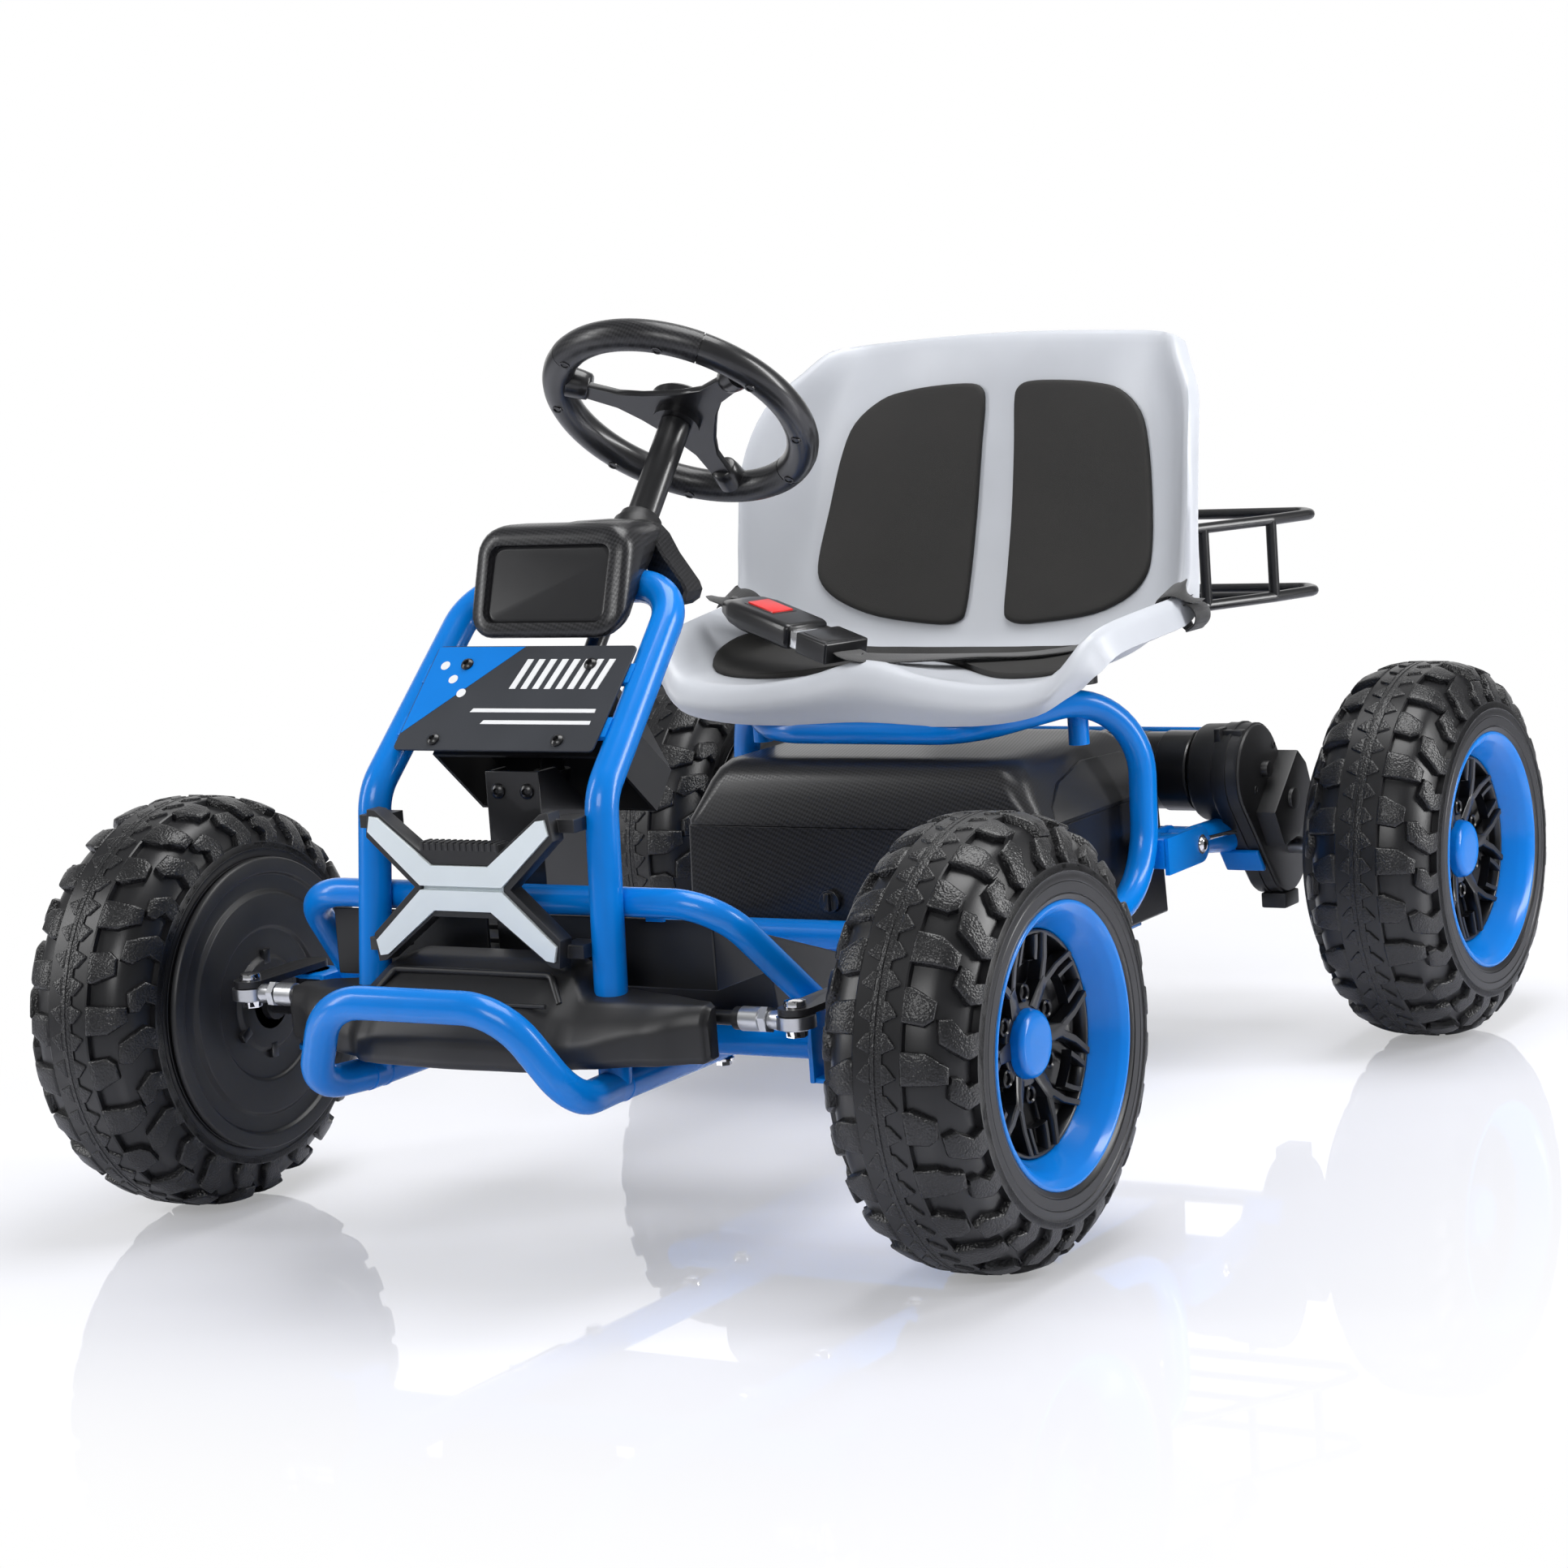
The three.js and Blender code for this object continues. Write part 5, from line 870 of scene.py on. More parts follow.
def steering_hub():
    """A flat star of three arms with a turned boss in its middle."""
    hub_parts = bmesh.new()
    outline = []
    for angle in SPOKES:
        for r, lean in ((86, 5.5), (52, 11), (36, 30), (31, 60)):
            outline.append((r, angle - radians(lean)))
        outline += [(r, 2 * angle - a) for r, a in reversed(outline[-4:])]
    outline.sort(key=lambda item: item[1] % tau)
    points = []
    for out, shrink in ((-6, 1.4), (-4.8, 0), (-1.7, 0), (-0.5, 1.4)):
        points.append([in_wheel(r - shrink, a, out) for r, a in outline])
    add_grid(hub_parts, points, closed_columns=True)
    for row in (points[0], points[-1]):
        fan(hub_parts, row, sum(row, Vector()) / len(row))
    disc_stack(hub_parts, HUB, COLUMN_WAY, [
        (-12, 0), (-12, 19), (-5, 19), (-4, 24), (9, 26), (11.8, 23),
        (11.8, 0),
    ], 40)
    piece(
        "wheel_centre", hub_parts, GLOSS_BLACK, 34, body="steering_wheel",
        node="steering_wheel_hub",
    )


def steering_column():
    """The column with its ball, and the bush that holds it at the dash."""
    column = bmesh.new()
    length = (HUB - JOINT).length / MM
    disc_stack(column, JOINT, COLUMN_WAY, [
        (-9.8, 0.5), (-7, 7), (0, 9.9), (6, 8), (length * 0.45, 8), (length * 0.45, 11.8),
        (length * 0.45 + 1, 12.5), (length - 12.5, 12.5), (length - 12.5, 0),
    ], 36)
    piece(
        "column_tube", column, BLACK_PAINT, 40, body="steering_wheel",
        node="steering_column",
    )
    collar = bmesh.new()
    disc_stack(collar, place(0, BUSH_Y, JOINT_Z + BUSH_Y * COLUMN_WAY.z / COLUMN_WAY.y), COLUMN_WAY, [
        (-30, 12.9), (-30, 21.5), (-12, 20), (-9, 17.8), (-4, 16.5),
        (-2, 14.5), (-2, 12.9),
    ], 36)
    piece("column_bush", collar, BLACK, angle=34)


def knuckles():
    """The knuckles with their ball bolts, the tie rods and the lower shaft."""
    for side, name in SIDES:
        dressed(f"knuckle_{name}", DARK_STEEL, 0.8, body=f"knuckle_{name}")
        ball_bolt = bmesh.new()
        at = steering_pin(side)
        disc_stack(ball_bolt, at, AXES[2], [
            (10.3, 0), (10.3, 8.2), (11.5, 8.4), (15, 7.8), (15.8, 5),
            (16, 0),
        ], 24)
        disc_stack(ball_bolt, at, AXES[2], [
            (-11.8, 0), (-11.8, 5), (-11.2, 7.8), (-6.2, 8.4), (-5.6, 6),
            (-5.6, 0),
        ], 6)
        piece(f"ball_bolt_{name}", ball_bolt, CHROME, 34, body=f"knuckle_{name}")
        tie_rod(side, name)
    dressed("lower_steering_shaft", DARK_STEEL, 0.8, body="lower_shaft")


def steering():
    steering_ring()
    steering_hub()
    steering_column()
    knuckles()


def tie_rod(side, name):
    """A zinc rod end round the knuckle's bolt, its lock nut and sleeve, and the black rod to the middle."""
    body = f"tie_rod_{name}"
    at = steering_pin(side)
    inward = Vector((-side, 0, 0))
    rod_end = bmesh.new()
    ring = [
        (-5, 10.8), (-6.2, 9.8), (-6.2, 6.2), (-4, 5.4), (4, 5.4), (6.2, 6.2), (6.2, 9.8), (5, 10.8),
        (4.5, 14.5), (-4.5, 14.5), (-5, 10.8),
    ]
    disc_stack(rod_end, at, (0, 0, 1), ring, 40)
    disc_stack(rod_end, at, inward, [
        (11.5, 0), (11.5, 7.8), (19, 6.8), (21, 6.8), (21, 5.2), (24, 5.2),
        (24, 0),
    ], 28)
    disc_stack(rod_end, at, inward, [(21.5, 0), (21.5, 10.2), (27, 10.2), (27, 0)], 6)
    disc_stack(rod_end, at, inward, [(27.5, 0), (27.5, 8), (28.5, 9), (44, 9), (45, 8), (45, 0)], 28)
    piece(f"rod_end_{name}", rod_end, STEEL, 34, body=body, node=f"tie_rod_{name}")
    rod = bmesh.new()
    disc_stack(rod, at, inward, [(44, 0), (44, 8.4), (50, 8.4), (50, 5.6), (223, 4.6), (223, 0)], 20)
    eye = place(side * 13, -76, 191)
    disc_stack(rod, eye, (0, 0, 1), [(-5, 6.3), (-5, 10.5), (5, 10.5), (5, 6.3), (-5, 6.3)], 30)
    piece(f"rod_{name}", rod, DARK_STEEL, 34, body=body)


# Dash, plate, lamp and covers

def corner_points(half_x, low, high, corner, steps=6):
    """An outline with round corners, anticlockwise from the lower right."""
    points = []
    for sx, sy, start in ((1, 0, -90), (1, 1, 0), (-1, 1, 90), (-1, 0, 180)):
        cx = sx * (half_x - corner)
        cy = high - corner if sy else low + corner
        for k in range(steps + 1):
            a = radians(start + 90 * k / steps)
            points.append((cx + corner * cos(a), cy + corner * sin(a)))
    return points


def dash():
    def row(half_x, corner, low, high):
        """One loop: low and high are its bottom and top (y, z) places."""
        low, high = Vector(low), Vector(high)
        length = (high - low).length
        loop = []
        for x, up in corner_points(half_x, 0, length, corner):
            y, z = low + (high - low) * up / length
            loop.append(place(x, y, z))
        return loop

    box_bm = bmesh.new()
    rows = [
        row(54.0, 9, (6.5, 467.5), (24.5, 523.5)), row(55.0, 9, (1.4, 468), (20.2, 525)),
        row(57.0, 11, (0.4, 464), (20.7, 528)), row(65.0, 17, (0.2, 458.5), (24.5, 535)),
        row(68.5, 21, (3, 456.4), (29, 538)), row(69.5, 22, (9, 456.2), (38, 539)),
        row(66.5, 21, (15, 457), (58, 538)), row(60, 18, (20, 461), (84, 535)),
        row(51, 13, (26, 468), (106, 530)), row(44, 10, (32, 474), (112, 527)),
    ]
    add_grid(box_bm, rows, closed_columns=True)
    cap(box_bm, rows[-1])
    piece("dash_shell", box_bm, CARBON, angle=60, node="dash_housing")
    face = bmesh.new()
    inner = [
        row(54.7, 9, (6, 467), (24.9, 524.2)), row(52, 8, (5.4, 469.6), (22.9, 521.8)),
        row(50.5, 7.5, (5.6, 471), (22.4, 520.4)),
    ]
    add_grid(face, inner, closed_columns=True)
    cap(face, inner[-1])
    piece("dash_panel", face, SCREEN, angle=40, node="dash_screen")
    flange = bmesh.new()
    half = [
        (0, 536), (30, 535), (46, 532), (54, 524), (62, 509), (78, 487), (80, 481), (77, 474), (70, 470),
        (66, 472), (55, 492), (46, 500), (30, 500), (0, 500),
    ]
    outline = half + [(-x, z) for x, z in reversed(half[1:-1])]
    layers = [
        [place(x * s, y, 500 + (z - 500) * s) for x, z in outline]
        for y, s in ((80, 0.97), (82, 1.0), (103, 1.0), (105.5, 0.96))
    ]
    loft(flange, layers)
    piece("dash_flange", flange, CARBON, angle=34)


HOOP_RUN = Vector(HOOP_TOP) - Vector(HOOP_FOOT)
SLANT = Vector((0, *HOOP_RUN)).normalized()
SLANT_OUT = Vector((0, -SLANT.z, SLANT.y))
PLATE_Z = 407
PLATE_MIDDLE = place(0, HOOP_FOOT[0] + (PLATE_Z - HOOP_FOOT[1]) / HOOP_RUN.y * HOOP_RUN.x, PLATE_Z)
PRINT_OUT = 14.8


def on_plate(x, up, out):
    return PLATE_MIDDLE + (Vector((x, 0, 0)) + SLANT * up + SLANT_OUT * out) * MM


def flat_print(bm, outline, thick=0.4):
    """A thin printed shape on the plate."""
    loft(bm, [[on_plate(x, up, out) for x, up in outline] for out in (PRINT_OUT, PRINT_OUT + thick)])


def number_plate():
    sheet = bmesh.new()
    outline = corner_points(90, -49, 49, 4, 4)
    layers = [
        [on_plate(x * s, up * s, out) for x, up in outline]
        for out, s in ((12.9, 0.996), (13.2, 1), (14.5, 1), (14.85, 0.996))
    ]
    loft(sheet, layers)
    piece("plate_sheet", sheet, PLATE, 34, node="number_plate")
    blue = bmesh.new()
    flat_print(blue, [(-89, -34), (-10, 48), (-89, 48)], 0.25)
    piece("plate_blue", blue, BLUE)
    white = bmesh.new()
    for k in range(8):
        x = -8 + 10.5 * k
        flat_print(white, [(x, 8), (x + 5.5, 8), (x + 11, 36), (x + 5.5, 36)])
    for up, start in ((-14, -34), (-25, -20)):
        flat_print(white, [(start, up), (78, up), (78, up + 3.4), (start + 2, up + 3.4)])
    for column in range(3):
        x, up = -76 + 13 * column, 30 - 13 * column
        flat_print(white, [(x + 4 * cos(tau * k / 20), up + 4 * sin(tau * k / 20)) for k in range(20)])
    piece("plate_print", white, WHITE)
    tabs = bmesh.new()
    for side in (-1, 1):
        for up in (-25, 25):
            turned_block(tabs, on_plate(side * 87, up, 10), (AXES[0], SLANT, SLANT_OUT), (14, 18, 5.5), 1)
    piece("plate_tabs", tabs, BLUE)
    screws = bmesh.new()
    for side in (-1, 1):
        for up in (-40, 31):
            screw(screws, on_plate(side * 56, up, PRINT_OUT), SLANT_OUT, 5.2, 3.2)
    piece("plate_screws", screws, GLOSS_BLACK)


FASCIA = [
    (0, (-88, 162), (-163, 162), (-169, 168), (-170, 184), (-152, 206), (-108, 234), (-88, 237)),
    (60, (-88, 162), (-160, 162), (-166, 168), (-166.5, 183), (-149, 205), (-108, 234), (-88, 237)),
    (79, (-88, 162), (-157, 162), (-162.5, 168), (-162.5, 182), (-146, 202), (-110, 229), (-88, 233)),
    (101, (-88, 162), (-141, 162), (-147, 167), (-148, 180), (-139, 195), (-126, 209), (-88, 213)),
    (145, (-88, 162), (-122, 162), (-128, 167), (-128.5, 188), (-123, 197), (-112, 206), (-88, 209)),
    (183, (-88, 162), (-103, 162), (-106, 166), (-107, 192), (-103, 200), (-98, 204), (-88, 205)),
    (188.6, (-90, 165), (-99, 165), (-101, 168), (-102, 190), (-99, 197), (-96, 201), (-90, 202)),
]


def fascia():
    """The front cover: sections from the middle out, smoothed between them, and the lines of its shelf."""
    half = []
    for low, high in zip(FASCIA, FASCIA[1:]):
        for k in range(4):
            t = k / 4
            ease = t * t * (3 - 2 * t)
            half.append([low[0] + (high[0] - low[0]) * t] + [
                (a[0] + (b[0] - a[0]) * ease, a[1] + (b[1] - a[1]) * ease)
                for a, b in zip(low[1:], high[1:])
            ])
    half.append(list(FASCIA[-1]))
    sections = [[-x, *rest] for x, *rest in reversed(half[1:])] + half
    bm = bmesh.new()
    rows = []
    for x, *loop in sections:
        dense = [loop[0]]
        for i in range(1, len(loop) - 1):
            before, here, after = Vector(loop[i - 1]), Vector(loop[i]), Vector(loop[i + 1])
            reach = min(5.0, (here - before).length * 0.4, (after - here).length * 0.4)
            start = here + (before - here).normalized() * reach
            end = here + (after - here).normalized() * reach
            for t in (0, 0.33, 0.67, 1):
                dense.append(tuple(start * (1 - t) ** 2 + here * 2 * t * (1 - t) + end * t * t))
        dense.append(loop[-1])
        rows.append([place(x, y, z) for y, z in dense])
    loft(bm, rows)
    piece("front_fascia", bm, BLACK, angle=60, node="fascia")
    shelf = bmesh.new()
    lip = [place(-84, -134, 208), place(-70, -122, 226), place(70, -122, 226), place(84, -134, 208)]
    sweep(shelf, lip, 2.6, 6, 10)
    low = [place(-80, -146, 208.5), place(80, -146, 208.5)]
    sweep(shelf, low, 1.8, 0, 10)
    piece("fascia_shelf", shelf, BLACK, angle=60)


def front_covers():
    dressed("headlight_lens", LENS, 2.8, 30, 4)
    dressed("headlight_housing", BLACK, bevel=1.6, angle=30, segments=3)
    ribs = bmesh.new()
    for k in range(13):
        x = -33 + 5.5 * k
        block(ribs, place(x, -120, 320), (2.8, 13, 6.5), 0.6)
    piece("lamp_ribs", ribs, BLACK)
    dressed("steering_post", BLACK_PAINT, 1.5, 30, 3)
    dressed("post_cover", BLACK, bevel=2.5, angle=25, segments=3)
    fascia()
    dressed("footwell", BLACK, bevel=2, angle=25, segments=3)
    heads = bmesh.new()
    for x, z in ((-13, 349), (13, 349), (-13, 268)):
        screw(heads, place(x, -53.3, z), (0, -1, 0), 5.8, 3)
    piece("post_screws", heads, GLOSS_BLACK)
    dressed("accelerator_pedal", BLACK_PAINT, 1.2, body="accelerator")
    treads = bmesh.new()
    lean = 0.2
    up = Vector((0, -sin(lean), cos(lean)))
    out = Vector((0, cos(lean), sin(lean)))
    for k in range(6):
        at = place(-95, 46, 172) + (up * (20 + 11.5 * k) + out * 3.6) * MM
        turned_block(treads, at, (AXES[0], up, out), (36 + 2.2 * k, 4, 3), 0.8)
    piece("pedal_treads", treads, RUBBER, body="accelerator")


def battery():
    cover = bmesh.new()
    rows = []
    for half_x, y0, y1, z, corner in (
        (175.8, 445.2, 669.8, 236.4, 12), (175.8, 445.2, 669.8, 240, 12), (171, 445.8, 669.2, 248, 14),
        (163, 446.6, 668.4, 262, 18), (157, 449, 666, 274, 20), (150.5, 454, 661, 284, 20),
        (143, 461, 654, 290.5, 20), (133, 470, 645, 292.8, 18), (118, 484, 631, 293, 16),
    ):
        rows.append([place(x, y, z) for x, y in corner_points(half_x, y0, y1, corner, 6)])
    loft(cover, rows)
    piece("box_lid", cover, CARBON, angle=60, node="battery_cover")
    side_panels = bmesh.new()
    for side in (-1, 1):
        outline = [(470, 239), (652, 239), (652, 262), (630, 276), (560, 279), (505, 268), (478, 252)]
        layers = []
        for out, s in ((-0.6, 1.0), (1.2, 1.0), (2.0, 0.985)):
            layer = []
            for y, z in outline:
                y, z = 560 + (y - 560) * s, 258 + (z - 258) * s
                x = 175.8 - (z - 236) * 0.47 + out
                layer.append(place(side * x, y, z))
            layers.append(layer)
        add_grid(side_panels, layers, closed_columns=True)
        cap(side_panels, layers[-1])
    piece("lid_side_panels", side_panels, BLACK, angle=34)
    dressed("battery_box", CARBON, 4, 25, 3)
    dressed("box_latch", BLACK_PAINT, 1, body="latch")
    dressed("battery", WRAP, bevel=2)
    dressed("controller", ALLOY, bevel=0.6)


# Seat

# Half rows from the middle to the rim, front lip first: x, y, z in millimetres
SEAT_ROWS = [
    [(0, 462, 322), (60, 460, 322), (125, 456, 324), (172, 456, 332), (195, 466, 345), (205, 478, 352)],
    [(0, 458, 350), (60, 455, 342), (125, 450, 337), (178, 449, 344), (203, 464, 364), (214, 478, 360)],
    [(0, 474, 375), (60, 468, 362), (125, 462, 355), (180, 464, 362), (205, 480, 388), (220, 486, 366)],
    [(0, 500, 372), (60, 492, 360), (125, 490, 356), (182, 494, 365), (212, 508, 401), (227, 510, 378)],
    [(0, 570, 362), (60, 570, 358), (125, 570, 358), (186, 574, 368), (219, 582, 408), (232, 586, 384)],
    [(0, 640, 358), (60, 640, 358), (125, 638, 360), (188, 630, 376), (221, 620, 411), (233, 628, 388)],
    [(0, 676, 364), (60, 676, 364), (125, 672, 368), (191, 658, 390), (222, 638, 422), (233, 650, 404)],
    [(0, 696, 396), (60, 696, 396), (125, 692, 400), (191, 674, 424), (223, 648, 470), (232, 658, 464)],
    [(0, 722, 470), (60, 722, 470), (125, 717, 472), (186, 700, 486), (221, 661, 530), (230, 671, 527)],
    [(0, 742, 550), (60, 742, 550), (125, 738, 550), (180, 722, 556), (211, 690, 580), (220, 700, 578)],
    [(0, 756, 610), (60, 757, 609), (113, 758, 606), (158, 748, 602), (188, 724, 612), (198, 734, 604)],
    [(0, 770, 637), (60, 770, 636), (108, 771, 634), (148, 767, 632), (174, 750, 629), (182, 758, 622)],
    [(0, 786, 628), (60, 788, 627), (108, 788, 624), (146, 784, 621), (169, 766, 619), (177, 765, 616)],
]
ROWS = len(SEAT_ROWS) - 1
COLUMNS = len(SEAT_ROWS[0]) - 1
NORMAL_STEP = 0.12


def knot(i, j):
    """A row point of the seat, mirrored for the far side and carried on past its edges."""
    side = -1 if j < 0 else 1
    j = abs(j)
    if j > COLUMNS:
        point = knot(i, COLUMNS) * 2 - knot(i, COLUMNS - 1)
    elif i < 0:
        point = knot(0, j) * 2 - knot(1, j)
    elif i > ROWS:
        point = knot(ROWS, j) * 2 - knot(ROWS - 1, j)
    else:
        point = Vector(SEAT_ROWS[i][j])
    return Vector((side * point.x, point.y, point.z))


def spline(p0, p1, p2, p3, t):
    """A smooth curve from p1 to p2 that looks at the points before and after them."""
    square = (p0 * 2 - p1 * 5 + p2 * 4 - p3) * t * t
    cube = (p1 * 3 - p0 - p2 * 3 + p3) * t ** 3
    return (p1 * 2 + (p2 - p0) * t + square + cube) / 2


def seat_at(along, across):
    """The seat's smooth surface; along runs over the rows and across from one rim to the other."""
    i = min(max(math.floor(along), 0), ROWS - 1)
    j = min(max(math.floor(across), -COLUMNS), COLUMNS - 1)
    s, t = along - i, across - j
    rows = [spline(*[knot(i + k, j + m) for m in (-1, 0, 1, 2)], t) for k in (-1, 0, 1, 2)]
    return spline(*rows, s)


def seat_normal(along, across):
    a0, a1 = max(along - NORMAL_STEP, 0), min(along + NORMAL_STEP, ROWS)
    b0, b1 = max(across - NORMAL_STEP, -COLUMNS), min(across + NORMAL_STEP, COLUMNS)
    down = seat_at(a1, across) - seat_at(a0, across)
    over = seat_at(along, b1) - seat_at(along, b0)
    return over.cross(down).normalized()


def on_seat(along, across, lift):
    point = seat_at(along, across) + seat_normal(along, across) * lift
    return place(*point)


def seat_shell():
    bm = bmesh.new()
    fine = 4
    along = [k / fine for k in range(ROWS * fine + 1)]
    across = [k / fine for k in range(-COLUMNS * fine, COLUMNS * fine + 1)]
    borders = []
    for lift in (0, -6):
        rows = [[on_seat(a, b, lift) for b in across] for a in along]
        add_grid(bm, rows)
        borders.append(
            rows[0] + [row[-1] for row in rows[1:]] + rows[-1][-2::-1] + [row[0] for row in rows[-2:0:-1]],
        )
    add_grid(bm, borders, closed_columns=True)
    piece("bucket_seat", bm, SEAT, angle=60, node="seat_shell")
    feet = bmesh.new()
    for side in (-1, 1):
        for x, y, z, top, radius in ((60, 484, 329.5, 356, 9), (165, 553, 346, 361, 14)):
            cylinder(feet, place(side * x, y, z), (0, 0, 1), radius, top - z)
    piece("seat_feet", feet, BLACK)


PAD_POINTS = 72
PAD_THICK = 5.0


def seat_pad(name, outline, node):
    """A foam pad with a rounded edge, lying on the seat inside an outline of (along, across) places."""
    loop = closed_spline(outline)
    middle = [sum(values) / PAD_POINTS for values in zip(*loop)]
    top = [
        (1.0, 0.08), (1.008, 0.35), (1.0, 0.75), (0.985, 0.95), (0.955, 1.03), (0.9, 1.06), (0.75, 1.1),
        (0.55, 1.12), (0.35, 1.13), (0.15, 1.13),
    ]
    under = [(share, 0.07) for share in (1.0, 0.8, 0.6, 0.4, 0.2)]
    bm = bmesh.new()
    for face in (top, under):
        rows = []
        for share, lift in face:
            inner = [[m + (value - m) * share for m, value in zip(middle, point)] for point in loop]
            rows.append([on_seat(*point, PAD_THICK * lift) for point in inner])
        add_grid(bm, rows, closed_columns=True)
        fan(bm, rows[-1], on_seat(*middle, PAD_THICK * face[-1][1]))
    piece(name, bm, FOAM, 60, node=node)


def closed_spline(points):
    result = []
    size = len(points)
    for k in range(PAD_POINTS):
        at = size * k / PAD_POINTS
        i = int(at)
        p = [Vector(points[(i + m) % size]) for m in (-1, 0, 1, 2)]
        result.append(spline(*p, at - i))
    return result


def seat():
    seat_shell()
    back = [
        (6.75, 0.42), (6.95, 0.34), (7.5, 0.32), (8.1, 0.31), (8.8, 0.29), (9.36, 0.26), (9.57, 0.31),
        (9.66, 0.52), (9.66, 1.1), (9.62, 1.6), (9.52, 2.03), (9.22, 2.36), (8.75, 2.5), (8.1, 2.62),
        (7.5, 2.66), (7.18, 2.58), (6.95, 2.28), (6.8, 1.7), (6.66, 0.75),
    ]
    seat_pad("back_pad_left", back, "seat_back_pad_left")
    seat_pad("back_pad_right", [(a, -b) for a, b in reversed(back)], "seat_back_pad_right")
    pan_half = [
        (4.3, 0), (4.15, 0.5), (3.75, 1.0), (3.35, 1.6), (3.2, 2.2), (3.25, 2.8), (3.6, 3.2), (4.2, 3.3),
        (4.9, 3.2), (5.35, 2.9), (5.55, 2.2), (5.6, 1.2),
    ]
    pan = pan_half + [(5.6, 0)] + [(a, -b) for a, b in reversed(pan_half[1:])]
    seat_pad("pan_pad", pan, "seat_pan_pad")


# Belt

BUCKLE_AT = place(-80, 514, 394)
BUCKLE_X = Vector((0.912, -0.34, -0.225)).normalized()
BUCKLE_Y = Vector((0, 0, 1)).cross(BUCKLE_X).normalized()
BUCKLE_AXES = (BUCKLE_X, BUCKLE_Y, BUCKLE_X.cross(BUCKLE_Y))
BUCKLE_SCALE = 1.14
STRAP_WIDTH = 30
RUN_STEPS = 6
# The seat's row at which the straps go round its wings
WING_ROW = 5.4


def in_buckle(x, y, z):
    return BUCKLE_AT + (BUCKLE_AXES[0] * x + BUCKLE_AXES[1] * y + BUCKLE_AXES[2] * z) * MM * BUCKLE_SCALE


def buckle_block(bm, x, z, size, bevel, segments=2):
    """A box on the buckle's middle line."""
    size = tuple(length * BUCKLE_SCALE for length in size)
    turned_block(bm, in_buckle(x, 0, z), BUCKLE_AXES, size, bevel, segments)


def smooth_run(points):
    """A smooth run of points through the given ones."""
    ends = [points[0] * 2 - points[1]] + list(points) + [points[-1] * 2 - points[-2]]
    run = []
    for i in range(1, len(ends) - 2):
        for k in range(RUN_STEPS):
            run.append(spline(*ends[i - 1:i + 3], k / RUN_STEPS))
    run.append(points[-1])
    return run


def ribbon(bm, points, ups, width, thick):
    """A flat strap along points; ups are its face directions there."""
    width, thick = width * MM, thick * MM
    rows = []
    for i, point in enumerate(points):
        along = (points[min(i + 1, len(points) - 1)] - points[max(i - 1, 0)]).normalized()
        up = (ups[i] - along * ups[i].dot(along)).normalized()
        over = along.cross(up)
        row = []
        for share in (-0.5, -0.44, -0.22, 0, 0.22, 0.44, 0.5):
            lift = thick * (0.2 if abs(share) == 0.5 else 0.5)
            row.append((point + over * width * share, up * lift))
        rows.append([p + o for p, o in row] + [p - o for p, o in reversed(row)])
    loft(bm, rows)


def strap_piece(name, places, node):
    run = smooth_run([point for point, up in places])
    bm = bmesh.new()
    ribbon(bm, run, smooth_run([up for point, up in places]), STRAP_WIDTH, 1.9)
    obj = piece(name, bm, WEBBING, angle=60, node=node)


def buckle():
    """The socket with its red button, and the tongue with its handle."""
    bm = bmesh.new()
    rows = []
    for x, half_y, z0, z1, corner in (
        (-88.5, 13, -4, 4.5, 3), (-87, 15, -5.5, 6, 4), (-74, 19, -9, 9.2, 5), (-60, 21, -10, 10, 5),
        (-4, 21, -10, 10, 5), (-0.8, 20, -9.4, 9.4, 4.4), (0, 19, -8.6, 8.6, 4),
    ):
        rows.append([in_buckle(x, y, z) for y, z in corner_points(half_y, z0, z1, corner, 4)])
    loft(bm, rows)
    piece("buckle_case", bm, GLOSS_BLACK, 40, node="buckle_socket")
    frame_bm = bmesh.new()
    buckle_block(frame_bm, -46, 9.9, (35, 24, 0.8), 0.3)
    piece("button_frame", frame_bm, GLOSS_BLACK)
    button = bmesh.new()
    buckle_block(button, -46, 9.9, (31, 20, 3.2), 0.8)
    piece("button_cap", button, RED, body="belt_button", node="buckle_button")
    blade = bmesh.new()
    buckle_block(blade, 7, -3.3, (30, 26, 2.2), 0.5)
    buckle_block(blade, 6.6, -0.4, (12.5, 36, 13.5), 2)
    piece("tongue_plate", blade, CHROME, node="buckle_tongue")
    handle = bmesh.new()
    buckle_block(handle, 30, 0, (36, 42, 16.5), 2.2, 3)
    buckle_block(handle, 30, 7.6, (28, 34, 2.4), 0.8)
    piece("tongue_handle", handle, GLOSS_BLACK)


def wing_wrap(side):
    """A strap's turn round the seat's wing: out under the rim, round it and back in over the seat."""
    places = [(3.55, -9), (4.0, -8.5), (4.5, -8.5)]
    run = [(on_seat(WING_ROW, side * a, lift), -seat_normal(WING_ROW, side * a)) for a, lift in places]
    rim_place = on_seat(WING_ROW, side * 4.95, 2)
    for turn in (-100, -60, -20, 20, 60, 100):
        a = radians(turn)
        way = Vector((side * cos(a), 0, sin(a)))
        run.append((rim_place + way * (11 * MM) - AXES[0] * (side * 4 * MM), way))
    run += [
        (on_seat(WING_ROW, side * a, lift), seat_normal(WING_ROW, side * a))
        for a, lift in ((4.2, 7), (3.8, 6.5), (3.4, 7))
    ]
    return run


